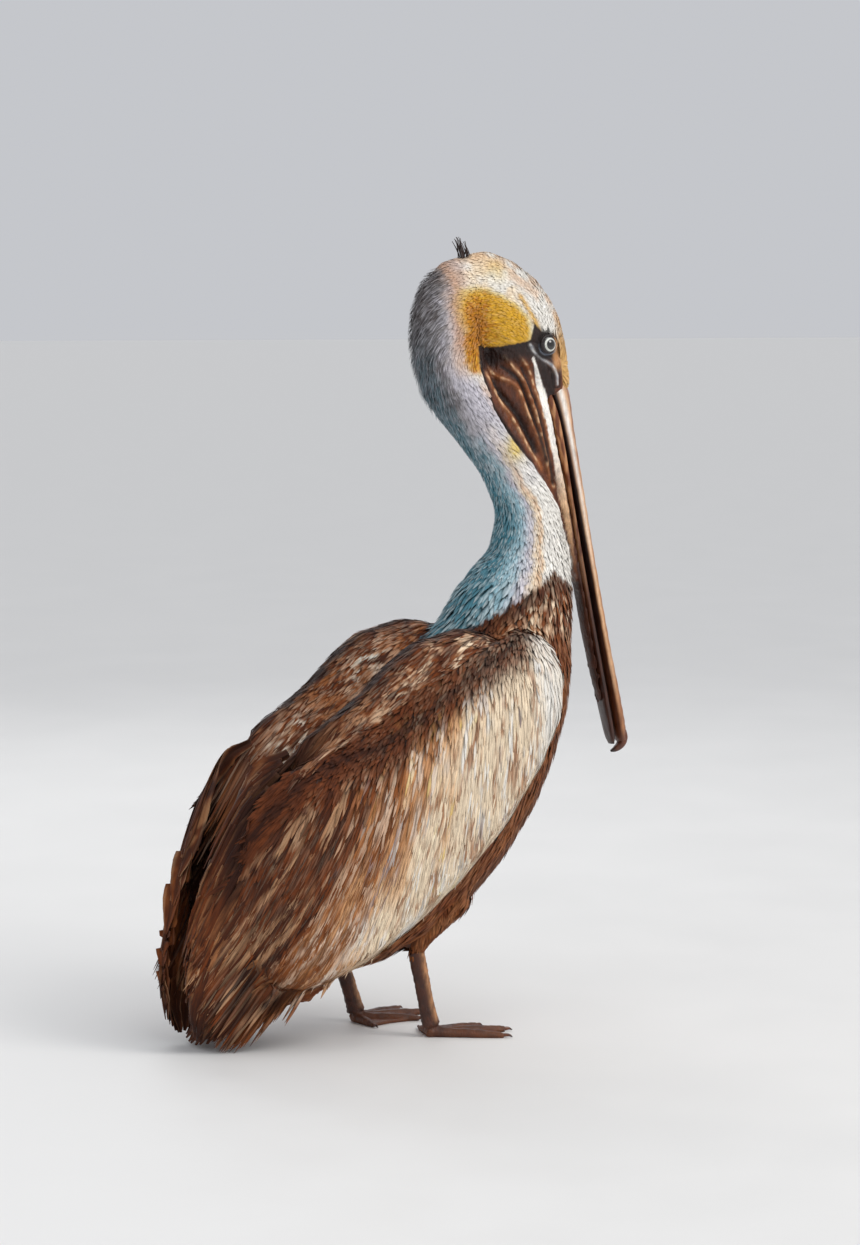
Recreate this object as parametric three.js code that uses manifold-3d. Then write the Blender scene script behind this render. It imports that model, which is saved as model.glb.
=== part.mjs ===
// Brown pelican, life size, standing at rest with its bill laid against its neck.
// Millimetres, +Z up, the bird faces +X. The tables below are laid out about a point on
// the floor between the feet; the finished group is centred on its own box at the end.
import * as THREE from "three";
import { mergeVertices } from "three/addons/utils/BufferGeometryUtils.js";
import Module from "manifold-3d";

const wasm = await Module();
wasm.setup();

// ---------------------------------------------------------------- driving sizes

const GAP = 0.36; // clear space left between two touching parts
const WELD = 0.02; // corners closer than this are made one corner
const LEFT = 1;
const RIGHT = -1;

// Rows of a body of changing section: x and z of the middle, half height toward the
// back, half height toward the breast, half width, and how square the section is.
const BODY = [
  [-150, 86, 10, 10, 14, 2],
  [-142, 89, 24, 22, 28, 2],
  [-126, 94, 38, 34, 44, 2],
  [-100, 102, 56, 54, 60, 2.1],
  [-70, 116, 74, 69, 74, 2.2],
  [-36, 140, 86, 82, 82, 2.3],
  [-2, 171, 92, 86, 84, 2.3],
  [31, 205, 91, 85, 84, 2.3],
  [62, 246, 85, 79, 82, 2.2],
  [85, 281, 74, 70, 74, 2.1],
  [99, 313, 64, 61, 64, 2],
  [108, 343, 55, 53, 53, 2],
  [119, 371, 46, 43, 44, 2],
  [124, 389, 39, 36, 37, 2],
  [125, 406, 34, 30, 32, 2],
  [125, 423, 31, 27, 29, 2],
  [121, 440, 28, 25, 27, 2],
  [112, 457, 26, 24, 25, 2],
  [102, 474, 24, 24, 24, 2],
  [89, 491, 24, 25, 25, 2],
  [76, 508, 25, 26, 26, 2],
  [64, 526, 28, 27, 28, 2],
  [54, 546, 31, 28, 29, 2],
  [50, 566, 32, 28, 29, 2],
  [50, 586, 33, 28, 28, 2],
  [54, 606, 32, 28, 26, 2],
  [62, 622, 27, 26, 22, 2],
  [72, 632, 18, 18, 14, 2],
];
const TRUNK_END = 11;
const NECK_CUTS = [11, 13.5, 16.5, 20, 27];
const HEAD = [
  [64, 641, 9, 9, 9, 2],
  [72, 632, 24, 22, 19, 2],
  [92, 609, 37, 37, 26, 2],
  [108, 589, 39, 38, 28, 2.1],
  [121, 571, 36, 35, 26, 2.1],
  [132, 555, 28, 29, 22.5, 2.1],
  [140, 541, 21, 22, 19.5, 2.1],
  [145, 531, 15, 16, 17.5, 2.1],
];
const EYE = { x: 130, y: 17, z: 571, radius: 9.4 };

// The bill hangs almost straight down: culmen, side edges and mandible.
const BILL_UPPER = [
  [138, 552, 12, 9, 15, 2.2],
  [147.2, 528, 11, 9, 17, 2.4],
  [155.6, 497, 7.5, 7.5, 15.5, 2.4],
  [165.7, 452, 6, 6, 13.5, 2.4],
  [175.4, 406, 5, 5.4, 12, 2.4],
  [186.1, 354, 4.8, 5, 11, 2.4],
  [194.7, 313, 4.8, 5, 10.6, 2.4],
  [203.8, 271, 5, 5, 11.2, 2.4],
  [209.6, 245, 5, 5, 10, 2.2],
  [212.3, 233, 3.6, 3.6, 7, 2],
];
const BILL_NAIL = [
  [212.8, 241, 4.2, 4.2, 5.4, 2],
  [213.9, 235, 4.4, 4.4, 6, 2],
  [212.5, 229.5, 3.6, 3.6, 4.8, 2],
  [207.8, 225.6, 2.6, 2.6, 3.2, 2],
  [203, 223.8, 1, 1, 1.2, 2],
];
const BILL_LOWER = [
  [136.1, 531, 3, 3.6, 15, 2.6],
  [143.4, 510, 3, 4, 16, 2.6],
  [150.8, 480, 3, 3, 14.5, 2.6],
  [157.9, 445, 2.6, 2.6, 12.8, 2.6],
  [165.9, 406, 2.6, 2.6, 11.5, 2.6],
  [176.6, 354, 2.8, 2.8, 10.4, 2.6],
  [185.2, 313, 3, 3, 9.8, 2.6],
  [194.2, 271, 3.2, 3, 9.4, 2.6],
  [201.2, 240, 3, 2.6, 8, 2.4],
  [203.3, 230.5, 1.6, 1.4, 5, 2],
];
const POUCH = [
  [96, 560, 14, 14, 14, 2],
  [103, 543, 28, 28, 19, 2.2],
  [110.2, 524, 32, 31, 20.5, 2.2],
  [120.5, 502, 27, 26, 19.5, 2.2],
  [132.8, 482, 17, 18, 17.5, 2.2],
  [143, 467, 9, 10, 15.5, 2.2],
  [151.3, 450, 4, 4.5, 13.5, 2.2],
  [156.5, 430, 3, 3, 12, 2.2],
  [166.2, 385, 3, 3, 10.5, 2.2],
  [174.9, 350, 3, 2.6, 9.6, 2.2],
  [180.7, 322, 4.6, 4.2, 9, 2.2],
  [189.8, 283, 5, 3.8, 8.4, 2.2],
  [196.6, 254, 3.6, 2.2, 7.4, 2.2],
  [199.3, 241, 1.4, 0.4, 4, 2],
];

// Rows of the folded wings' outer surface, from the bend of the wing to the tips: x and z
// of the middle, half heights toward back and belly, half width, squareness, thickness.
const WING = [
  [108, 340, 56, 44, 66, 2.6, 22],
  [99, 313, 90, 62, 86, 3.4, 30],
  [85, 281, 110, 72, 95, 3.6, 34],
  [62, 246, 121, 82, 98, 3.6, 38],
  [31, 205, 127, 88, 98, 3.6, 40],
  [-2, 171, 134, 89, 97, 3.6, 42],
  [-36, 140, 142, 87, 94, 3.5, 42],
  [-70, 116, 142, 80, 90, 3.4, 38],
  [-112, 96, 126, 70, 82, 3.2, 24],
  [-144, 84, 84, 67, 66, 2.8, 15],
  [-165, 70, 50, 65, 52, 2.5, 12],
  [-180, 48, 30, 60, 43, 2.3, 11],
  [-187, 22, 19, 38, 34, 2.1, 9],
  [-186, 6, 7, 15, 26, 2, 6],
];

// Outlines of the feather panels on that surface. Each row: place along the wing, then
// the angles round the body (0 at the back, 180 at the belly) of upper and lower edge.
const COVERTS = {
  rows: [
    [0.35, 76, 92],
    [0.7, 70, 99],
    [1.3, 65, 105],
    [2.2, 59, 109],
    [3.4, 49, 111],
    [4.6, 42, 112],
    [5.8, 33, 114],
    [6.9, 31, 120],
    [7.9, 34, 128],
    [8.7, 44, 122],
    [9.2, 60, 108],
  ],
  upperLip: 0.82,
  lowerLip: 0.3,
  fall: 0.5,
};
const SCAPULARS = {
  rows: [
    [0.8, 30, 66],
    [1.2, 14, 64],
    [2.2, 7, 55],
    [3.4, 6, 45],
    [4.6, 8, 38],
    [5.6, 12, 30],
    [6.3, 17, 27],
  ],
  upperLip: 0.2,
  lowerLip: 0.8,
  fall: 0.9,
};

// Long feathers of the wing: place and angle of the root, place and angle of the tip,
// half width of the vane and how far below the outer surface its tip lies.
const SECONDARIES = [
  [5.8, 16, 9.3, 17, 14, 1],
  [6.8, 27, 10.4, 26, 16, 1.5],
  [7.9, 42, 11.3, 46, 17, 1],
  [8.2, 60, 12.3, 68, 17, 0],
  [8.3, 79, 12.9, 93, 17, 0.5],
  [8.1, 96, 12.6, 124, 17, 0.5],
  [7.8, 112, 11.7, 144, 17, 1],
  [7.4, 126, 10.4, 154, 15, 2],
];
const PRIMARIES = [
  [8.9, 134, 10.8, 154, 9, 14],
  [9.2, 128, 11.8, 148, 10, 14],
];
const VANE_THICK = 6;

const TAIL = {
  root: [-132, 0, 90],
  tip: [-184, 0, 1.4],
  spread: 40,
  sideTip: [-172, 12],
  feathers: 5,
  halfWidth: 17,
  thick: 4,
};

// Legs: the right foot stands a step ahead of the left one.
const LEG = {
  side: 42,
  stepRight: 14,
  stepLeft: -17,
  lean: 14,
  // how much lower the belly feathers reach over each leg
  coverRight: 0,
  coverLeft: 24,
};
const TOES = [
  { name: "outer", turn: 30, length: 60, thick: 4.6 },
  { name: "middle", turn: 6, length: 64, thick: 5 },
  { name: "inner", turn: -20, length: 53, thick: 4.6 },
  { name: "hind", turn: -84, length: 29, thick: 4 },
];
const WEB_THICK = 2.6;
const CLAW_LENGTH = 7;

const CREST = [
  { x: 60, y: -3, z: 643, lean: -22, length: 17 },
  { x: 66, y: 2, z: 645, lean: -14, length: 13 },
];

const COLOUR = {
  brown: 0x6b4326,
  darkBrown: 0x3a2316,
  paleBrown: 0xb89a7c,
  neck: 0x8b979c,
  crown: 0xd9b04a,
  skin: 0x33190f,
  horn: 0xb08a6a,
  darkHorn: 0x46291b,
  leg: 0x5c4233,
  claw: 0x241a15,
  eye: 0xc9ccc6,
};

// ---------------------------------------------------------------- sections and lofts

const radians = (degrees) => (degrees * Math.PI) / 180;
const mix = (a, b, k) => a + (b - a) * k;

// The row at a fractional place of a table, on a smooth curve through its rows.
function rowAt(table, place) {
  const last = table.length - 1;
  const start = Math.min(Math.max(Math.floor(place), 0), last - 1);
  const k = place - start;
  const before = table[Math.max(start - 1, 0)];
  const from = table[start];
  const to = table[start + 1];
  const after = table[Math.min(start + 2, last)];
  return from.map((value, i) => {
    const inSlope = (to[i] - before[i]) / 2;
    const outSlope = (after[i] - value) / 2;
    const k2 = k * k;
    const k3 = k2 * k;
    return (2 * k3 - 3 * k2 + 1) * value
      + (k3 - 2 * k2 + k) * inSlope
      + (3 * k2 - 2 * k3) * to[i]
      + (k3 - k2) * outSlope;
  });
}

// The unit direction in the middle plane that points toward the back at a place.
function backwardUp(table, place) {
  const step = 0.05;
  const last = table.length - 1;
  const a = rowAt(table, Math.max(place - step, 0));
  const b = rowAt(table, Math.min(place + step, last));
  const length = Math.hypot(b[0] - a[0], b[1] - a[1]);
  return [-(b[1] - a[1]) / length, (b[0] - a[0]) / length];
}

// A point of a section: the angle runs from the back (0) over the left side to the breast.
function sectionPoint(row, up, degrees, grow, squeeze = 0) {
  const [x, z, high, low, wide, square] = row;
  const c = Math.cos(radians(degrees));
  const s = Math.sin(radians(degrees));
  const height = (c > 0 ? high : low) + grow - squeeze;
  const rise = height * Math.sign(c) * Math.abs(c) ** (2 / square);
  const out = (wide + grow - squeeze) * Math.sign(s) * Math.abs(s) ** (2 / square);
  return new THREE.Vector3(x + up[0] * rise, out, z + up[1] * rise);
}

// A closed body from rings with the same number of points, a fan over each end.
function bodyOfRings(rings) {
  const count = rings[0].length;
  const points = rings.flat();
  const index = [];
  for (let r = 0; r + 1 < rings.length; r += 1) {
    for (let k = 0; k < count; k += 1) {
      const a = r * count + k;
      const b = r * count + ((k + 1) % count);
      index.push(a, b, b + count, a, b + count, a + count);
    }
  }
  const lastStart = (rings.length - 1) * count;
  const ends = [[0, rings[0], 1], [lastStart, rings[rings.length - 1], -1]];
  for (const [start, ring, turn] of ends) {
    const middle = ring.reduce((sum, p) => sum.add(p), new THREE.Vector3());
    points.push(middle.divideScalar(count));
    for (let k = 0; k < count; k += 1) {
      const a = start + k;
      const b = start + ((k + 1) % count);
      const centre = points.length - 1;
      index.push(...(turn > 0 ? [centre, b, a] : [centre, a, b]));
    }
  }
  const geometry = new THREE.BufferGeometry().setFromPoints(points);
  geometry.setIndex(index);
  return solid(geometry);
}

// The part of a table's body between two places, a little bigger or smaller by grow.
function loft(table, from, to, steps, around, grow = 0) {
  const rings = [];
  for (let i = 0; i <= steps; i += 1) {
    const place = mix(from, to, i / steps);
    const row = rowAt(table, place);
    const up = backwardUp(table, place);
    const ring = [];
    for (let k = 0; k < around; k += 1) {
      ring.push(sectionPoint(row, up, ((k + 0.5) * 360) / around, grow));
    }
    rings.push(ring);
  }
  return bodyOfRings(rings);
}

// A manifold solid of a closed geometry, turned so that its faces point out.
function solid(geometry) {
  const bare = new THREE.BufferGeometry();
  bare.setAttribute("position", geometry.getAttribute("position"));
  bare.setIndex(geometry.getIndex());
  const merged = mergeVertices(bare, 1e-4);
  const place = merged.getAttribute("position").array;
  const triVerts = new Uint32Array(merged.getIndex().array);
  const corner = (i) => new THREE.Vector3().fromArray(place, 3 * triVerts[i]);
  let volume = 0;
  for (let i = 0; i < triVerts.length; i += 3) {
    volume += corner(i).dot(corner(i + 1).cross(corner(i + 2)));
  }
  if (volume < 0) triVerts.reverse();
  return new wasm.Manifold(
    new wasm.Mesh({ numProp: 3, vertProperties: new Float32Array(place), triVerts }),
  );
}

// The same solid mirrored to the other side of the middle plane.
function mirrored(shape) {
  const geometry = geometryOf(shape);
  geometry.scale(1, -1, 1);
  return solid(geometry);
}

function geometryOf(shape) {
  const mesh = shape.getMesh();
  const places = new Float32Array((mesh.vertProperties.length / mesh.numProp) * 3);
  for (let i = 0; i < places.length / 3; i += 1) {
    for (let k = 0; k < 3; k += 1) places[3 * i + k] = mesh.vertProperties[i * mesh.numProp + k];
  }
  const geometry = new THREE.BufferGeometry();
  geometry.setAttribute("position", new THREE.BufferAttribute(places, 3));
  geometry.setIndex(new THREE.BufferAttribute(new Uint32Array(mesh.triVerts), 1));
  return geometry;
}

// A geometry with its closest corners welded, without the triangles that this closes up.
function welded(geometry) {
  const whole = mergeVertices(geometry, WELD);
  const index = Array.from(whole.getIndex().array);
  const isOpen = (i) => index[i] !== index[i + 1]
    && index[i + 1] !== index[i + 2]
    && index[i + 2] !== index[i];
  whole.setIndex(index.filter((_, i) => isOpen(i - (i % 3))));
  return whole;
}

// The largest connected body of a geometry: crumbs cut off by a neighbour are dropped.
function largestBody(geometry) {
  const index = Array.from(geometry.getIndex().array);
  const place = geometry.getAttribute("position");
  const owner = Array.from({ length: place.count }, (_, i) => i);
  const rootOf = (i) => {
    let at = i;
    while (owner[at] !== at) at = owner[at];
    return at;
  };
  for (let i = 0; i < index.length; i += 3) {
    owner[rootOf(index[i + 1])] = rootOf(index[i]);
    owner[rootOf(index[i + 2])] = rootOf(index[i]);
  }
  const volumes = new Map();
  const corner = (i) => new THREE.Vector3().fromBufferAttribute(place, index[i]);
  for (let i = 0; i < index.length; i += 3) {
    const key = rootOf(index[i]);
    const volume = corner(i).dot(corner(i + 1).cross(corner(i + 2)));
    volumes.set(key, (volumes.get(key) || 0) + volume);
  }
  const best = [...volumes].reduce((a, b) => (b[1] > a[1] ? b : a))[0];
  geometry.setIndex(index.filter((_, i) => rootOf(index[i - (i % 3)]) === best));
  return geometry;
}

function ball(x, y, z, radius, segments) {
  const geometry = new THREE.SphereGeometry(radius, segments, segments / 2);
  geometry.translate(x, y, z);
  return solid(geometry);
}

function block(x0, x1, y0, y1, z0, z1) {
  const geometry = new THREE.BoxGeometry(x1 - x0, y1 - y0, z1 - z0);
  geometry.translate((x0 + x1) / 2, (y0 + y1) / 2, (z0 + z1) / 2);
  return solid(geometry);
}

// ---------------------------------------------------------------- wings

// A point on the left wing's outer surface or, with a depth, below it.
function wingPoint(place, degrees, depth) {
  const [x, z] = backwardUp(WING, place);
  return sectionPoint(rowAt(WING, place), [-x, -z], degrees, 0, depth);
}

// A panel of feathers on the wing surface, thickest in its middle, thinner at its lips.
function panel({ rows, upperLip, lowerLip, fall }, lengthSteps, acrossSteps, grow = 0) {
  const last = rows.length - 1;
  const rings = [];
  for (let i = 0; i <= lengthSteps; i += 1) {
    const along = i / lengthSteps;
    const [place, upper, lower] = rowAt(rows, along * last);
    const thick = rowAt(WING, place)[6];
    const endLip = 0.35 + 0.65 * Math.min(1, 5 * along, 5 * (1 - along)) ** 0.6;
    const outer = [];
    const inner = [];
    for (let k = 0; k <= acrossSteps; k += 1) {
      const across = k / acrossSteps;
      const lip = mix(upperLip, lowerLip, across);
      const crown = Math.sin(Math.PI * across) ** 0.6;
      const full = mix(lip, 1, crown) * endLip;
      const degrees = mix(upper - grow * 2, lower + grow * 2, across);
      outer.push(wingPoint(place, degrees, thick * fall * (1 - full) - grow));
      inner.unshift(wingPoint(place, degrees, thick * (fall + 0.5) + grow));
    }
    rings.push([...outer, ...inner]);
  }
  return bodyOfRings(rings);
}

// A long feather: a flat vane with a soft point, laid along a path. The path gives, for
// a share of its length, the middle of the vane and the direction it faces.
function vane(pathAt, halfWidth, thick, grow = 0) {
  const outline = [[1, 0], [0, 1], [-1, 0], [0, -1]];
  const rings = [];
  for (const along of [0, 0.4, 0.75, 1]) {
    const { middle, out } = pathAt(along);
    const onward = pathAt(Math.min(along + 0.02, 1.02)).middle.sub(middle).normalize();
    const side = new THREE.Vector3().crossVectors(out, onward).normalize();
    const tip = Math.max(0, (along - 0.6) / 0.4);
    const half = halfWidth * mix(0.75, 1, Math.min(1, along * 3)) * Math.sqrt(1.04 - tip ** 2);
    const half2 = (thick / 2) * mix(1, 0.6, along) + grow;
    rings.push(outline.map(([a, b]) => middle.clone()
      .addScaledVector(side, a * (half + grow))
      .addScaledVector(out, b * half2)));
  }
  return bodyOfRings(rings);
}

// A long feather of the wing, lying just under the wing surface.
function wingVane([rootPlace, rootAngle, tipPlace, tipAngle, halfWidth, depth], grow = 0) {
  const pathAt = (along) => {
    const place = mix(rootPlace, tipPlace, along);
    const angle = mix(rootAngle, tipAngle, along);
    const sunk = mix(Math.max(6, depth), depth, Math.min(1, along * 1.6)) + VANE_THICK / 2;
    const middle = wingPoint(place, angle, sunk);
    const under = wingPoint(place, angle, sunk + 3);
    return { middle, out: middle.clone().sub(under).normalize() };
  };
  return vane(pathAt, halfWidth, VANE_THICK, grow);
}

// The tail: a shallow roof of feathers spread in a fan from the rump.
function tailFan(grow = 0) {
  const { root, tip, spread, sideTip, feathers, halfWidth, thick } = TAIL;
  const vanes = [];
  for (let i = 0; i < feathers; i += 1) {
    const across = (2 * i) / (feathers - 1) - 1;
    const drop = Math.abs(across) ** 2;
    const from = new THREE.Vector3(root[0], across * 16, root[2] - 5 * drop);
    const to = new THREE.Vector3(
      mix(tip[0], sideTip[0], drop),
      across * spread,
      mix(tip[2], sideTip[1], drop),
    );
    const out = new THREE.Vector3(root[2] - tip[2], 0, tip[0] - root[0]).negate();
    out.normalize().addScaledVector(new THREE.Vector3(0, across * 0.35, 0), 1).normalize();
    const pathAt = (along) => ({ middle: from.clone().lerp(to, along), out });
    vanes.push(vane(pathAt, halfWidth, thick, grow));
  }
  return joined(vanes);
}

const joined = (shapes) => shapes.reduce((sum, shape) => sum.add(shape));

// ---------------------------------------------------------------- legs and feet

const moved = (shape, x, y, z, turn = 0) => {
  const geometry = geometryOf(shape);
  geometry.rotateZ(radians(turn));
  geometry.translate(x, y, z);
  return solid(geometry);
};

const wholeLoft = (table, steps, around, grow = 0) =>
  loft(table, 0, table.length - 1, steps, around, grow);

// A toe lying along +X from the ankle, with a low knuckle.
function toe({ length, thick }) {
  const rows = [
    [-3, 4.4, thick + 1.2, thick, thick + 1, 2],
    [length * 0.25, 3.6, thick - 0.8, thick, thick - 0.4, 2],
    [length * 0.4, 3.4, thick, thick, thick + 0.4, 2],
    [length * 0.7, 2.8, thick - 1, thick, thick - 0.6, 2],
    [length, 2, thick - 2.2, thick - 1, thick - 1.8, 2],
  ];
  return wholeLoft(rows, 3, 6);
}

// A curved claw beyond the end of a toe.
function claw({ length, thick }) {
  const start = length + GAP;
  const rows = [
    [start, 2.6, thick - 2.6, 1.6, thick - 2.6, 2],
    [start + CLAW_LENGTH * 0.5, 2.6, thick - 3, 1.4, thick - 3.2, 2],
    [start + CLAW_LENGTH, 1, 0.4, 0.4, 0.4, 2],
  ];
  return wholeLoft(rows, 2, 6);
}

const floorBlock = block(-400, 400, -400, 400, -40, 0);

// The webbed foot: four toes and the web between them, flat underneath.
function foot(side) {
  const shape = new THREE.Shape();
  const end = ({ turn, length }, share) => [
    Math.cos(radians(turn)) * length * share,
    Math.sin(radians(turn)) * length * share * side,
  ];
  shape.moveTo(-4, 0);
  shape.lineTo(...end(TOES[0], 0.93));
  for (let i = 1; i < TOES.length; i += 1) {
    const [ax, ay] = end(TOES[i - 1], 0.74);
    const [bx, by] = end(TOES[i], 0.74);
    shape.quadraticCurveTo((ax + bx) / 2, (ay + by) / 2, ...end(TOES[i], 0.93));
  }
  const web = new THREE.ExtrudeGeometry(shape, {
    depth: WEB_THICK,
    bevelEnabled: false,
    curveSegments: 2,
  });
  const toes = TOES.map((t) => moved(toe(t), 0, 0, 0, t.turn * side));
  return joined([solid(web), ...toes]).subtract(floorBlock);
}

const THIGH = [
  [20, 126, 34, 34, 26, 2],
  [11, 106, 26, 27, 21, 2],
  [4, 89, 15, 16, 13.5, 2],
  [0.5, 79, 10, 10, 8.5, 2],
  [0, 73, 8, 8, 6.6, 2],
];
const TARSUS = [
  [0, 72.6, 6.8, 6.8, 5.4, 2],
  [3, 58, 7, 7, 4.8, 2],
  [7, 38, 6.6, 6.6, 4.4, 2],
  [11, 20, 7, 7, 4.8, 2],
  [13.5, 10, 8, 8, 6, 2],
];

// ---------------------------------------------------------------- body

const trunk = loft(BODY, 0, TRUNK_END, 13, 20);
const trunkGrown = loft(BODY, 0, TRUNK_END, 13, 20, GAP);
const headBlank = wholeLoft(HEAD, 9, 16);
const headGrown = wholeLoft(HEAD, 9, 16, GAP);
const lowerBlank = wholeLoft(BILL_LOWER, 10, 10);
const lowerGrown = wholeLoft(BILL_LOWER, 10, 10, GAP);
const upperBlank = wholeLoft(BILL_UPPER, 10, 10);
const upperGrown = wholeLoft(BILL_UPPER, 10, 10, GAP);
const nail = wholeLoft(BILL_NAIL, 6, 8);
const nailGrown = wholeLoft(BILL_NAIL, 6, 8, GAP);
const pouchBlank = wholeLoft(POUCH, 12, 11);
const pouchGrown = wholeLoft(POUCH, 12, 11, GAP);

const sockets = [LEFT, RIGHT].map((side) =>
  ball(EYE.x, side * EYE.y, EYE.z, EYE.radius + GAP, 12));
const head = sockets.reduce((shape, socket) => shape.subtract(socket), headBlank);
const billUpper = upperBlank.subtract(headGrown).subtract(nailGrown);
const billLower = lowerBlank.subtract(headGrown).subtract(upperGrown).subtract(nailGrown);
const pouch = pouchBlank.subtract(headGrown).subtract(lowerGrown).subtract(upperGrown);

// Neck lengths, each ending a gap short of the next; the first stands on the trunk.
const neckNames = ["neck_base", "neck_lower", "neck_middle", "neck_upper"];
function neckLength(i, grow = 0) {
  const from = NECK_CUTS[i] + 0.022;
  const to = NECK_CUTS[i + 1];
  const steps = Math.max(3, Math.round((to - from) * 1.15));
  return loft(BODY, from, to, steps, 16, grow);
}
const neckPieces = neckNames.map((name, i) =>
  neckLength(i).subtract(headGrown).subtract(pouchGrown).subtract(lowerGrown));
const neckBaseGrown = neckLength(0, GAP);
const neckUpperGrown = neckLength(3, GAP);

// ---------------------------------------------------------------- wings, tail and thighs

const covertsBlank = panel(COVERTS, 11, 6);
const covertsGrown = panel(COVERTS, 11, 6, GAP);
const scapularsBlank = panel(SCAPULARS, 9, 4).subtract(covertsGrown);
const scapularsGrown = panel(SCAPULARS, 9, 4, GAP);
const secondariesWhole = joined(SECONDARIES.map((feather) => wingVane(feather)));
const secondariesGrown = joined(SECONDARIES.map((feather) => wingVane(feather, GAP)));
const secondariesBlank = secondariesWhole.subtract(covertsGrown).subtract(scapularsGrown);
const primariesWhole = joined(PRIMARIES.map((feather) => wingVane(feather)));
const primariesBlank = primariesWhole.subtract(secondariesGrown);

// A wing part on its own side, cut back from the trunk, the neck and the floor.
function fitted(blank, side) {
  const shape = side === LEFT ? blank : mirrored(blank);
  return shape.subtract(trunkGrown).subtract(neckBaseGrown).subtract(floorBlock);
}

const flightGrown = joined([secondariesGrown, ...PRIMARIES.map((f) => wingVane(f, GAP))]);
const tail = tailFan()
  .subtract(flightGrown)
  .subtract(mirrored(flightGrown))
  .subtract(trunkGrown)
  .subtract(floorBlock);

// ---------------------------------------------------------------- assembly

const group = new THREE.Group();
group.name = "brown_pelican";

function part(name, shape, colour, roughness = 0.8, metalness = 0) {
  const material = new THREE.MeshStandardMaterial({ color: colour, roughness, metalness });
  const mesh = new THREE.Mesh(welded(largestBody(geometryOf(shape))), material);
  mesh.name = name;
  group.add(mesh);
}

part("trunk", trunk, COLOUR.brown);
neckPieces.forEach((piece, i) => part(neckNames[i], piece, COLOUR.neck));
part("head", head, COLOUR.crown);
part("pouch", pouch, COLOUR.skin);
part("bill_upper", billUpper, COLOUR.horn, 0.5);
part("bill_lower", billLower, COLOUR.darkHorn, 0.5);
part("bill_nail", nail, COLOUR.darkHorn, 0.4);
part("tail", tail, COLOUR.darkBrown);
CREST.forEach(({ x, y, z, lean, length }, i) => {
  const wisp = wholeLoft([[0, -3, 1.4, 1.4, 1.4, 2], [0, length, 0.5, 0.5, 0.5, 2]], 2, 6);
  const geometry = geometryOf(wisp);
  geometry.rotateY(radians(lean));
  geometry.translate(x, y, z);
  const shape = solid(geometry).subtract(headGrown).subtract(neckUpperGrown);
  part("crest_" + (i + 1), shape, COLOUR.darkBrown);
});

const sides = [
  ["left", LEFT, LEG.stepLeft, LEG.coverLeft],
  ["right", RIGHT, LEG.stepRight, LEG.coverRight],
];
for (const [sideName, side, step, cover] of sides) {
  part("eye_" + sideName, ball(EYE.x, side * EYE.y, EYE.z, EYE.radius, 12), COLOUR.eye, 0.1);
  part("wing_" + sideName + "_coverts", fitted(covertsBlank, side), COLOUR.paleBrown);
  part("wing_" + sideName + "_scapulars", fitted(scapularsBlank, side), COLOUR.brown);
  part("wing_" + sideName + "_secondaries", fitted(secondariesBlank, side), COLOUR.darkBrown);
  part("wing_" + sideName + "_primaries", fitted(primariesBlank, side), COLOUR.darkBrown);
  const hip = step - LEG.lean;
  const thigh = moved(wholeLoft(THIGH, 5, 12), hip, side * LEG.side, -cover).subtract(trunkGrown);
  const thighGrown = moved(wholeLoft(THIGH, 5, 12, GAP), hip, side * LEG.side, -cover);
  part("thigh_" + sideName, thigh, COLOUR.brown);
  const footShape = moved(foot(side), step, side * LEG.side, 0);
  const footGrown = moved(foot(side), step, side * LEG.side, GAP);
  const shank = TARSUS.map(([x, z, ...rest]) => [x, z * (1 - (cover * z) / 72.6 ** 2), ...rest]);
  const tarsus = moved(wholeLoft(shank, 5, 8), hip, side * LEG.side, 0)
    .subtract(footGrown)
    .subtract(thighGrown)
    .subtract(trunkGrown);
  part("tarsus_" + sideName, tarsus, COLOUR.leg);
  part("foot_" + sideName, footShape, COLOUR.leg);
  TOES.forEach((t) => {
    const shape = moved(claw(t), step, side * LEG.side, 0, t.turn * side);
    part("claw_" + sideName + "_" + t.name, shape, COLOUR.claw, 0.4);
  });
}

// The origin lies on the floor, in the middle of the bird's length and width.
const middle = new THREE.Box3().setFromObject(group).getCenter(new THREE.Vector3());
group.children.forEach((mesh) => mesh.geometry.translate(-middle.x, -middle.y, 0));

export default group;
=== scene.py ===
"""Looks of a life-size brown pelican: skin, feathers, bill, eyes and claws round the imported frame.

Lengths are millimetres in the bird's own layout (X forward, Y left, Z up, the origin on the
floor between the feet) until a mesh is made, and metres in the frame after that.
"""

import math

import bmesh
import bpy
import numpy as np
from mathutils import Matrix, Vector
from mathutils.bvhtree import BVHTree


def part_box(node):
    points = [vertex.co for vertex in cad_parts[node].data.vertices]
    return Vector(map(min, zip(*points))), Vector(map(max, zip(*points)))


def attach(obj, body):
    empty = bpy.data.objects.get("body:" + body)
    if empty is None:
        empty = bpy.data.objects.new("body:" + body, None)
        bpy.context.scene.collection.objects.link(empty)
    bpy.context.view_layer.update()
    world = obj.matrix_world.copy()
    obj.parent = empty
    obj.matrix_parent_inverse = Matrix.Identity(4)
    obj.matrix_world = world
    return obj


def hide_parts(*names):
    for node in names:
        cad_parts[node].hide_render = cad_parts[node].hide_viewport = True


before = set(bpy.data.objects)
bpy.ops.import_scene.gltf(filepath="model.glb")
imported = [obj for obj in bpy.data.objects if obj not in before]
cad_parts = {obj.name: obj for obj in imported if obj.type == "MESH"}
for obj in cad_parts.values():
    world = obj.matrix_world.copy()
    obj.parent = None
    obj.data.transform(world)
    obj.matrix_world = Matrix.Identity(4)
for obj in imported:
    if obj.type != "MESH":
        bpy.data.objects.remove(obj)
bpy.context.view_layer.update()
rng = np.random.default_rng(7)

MM = 0.001
SIDES = ("left", "right")
TURNS = (1, -1)
EYE = np.array([130.0, 17.0, 571.0])
EYE_RADIUS = 9.4
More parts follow.
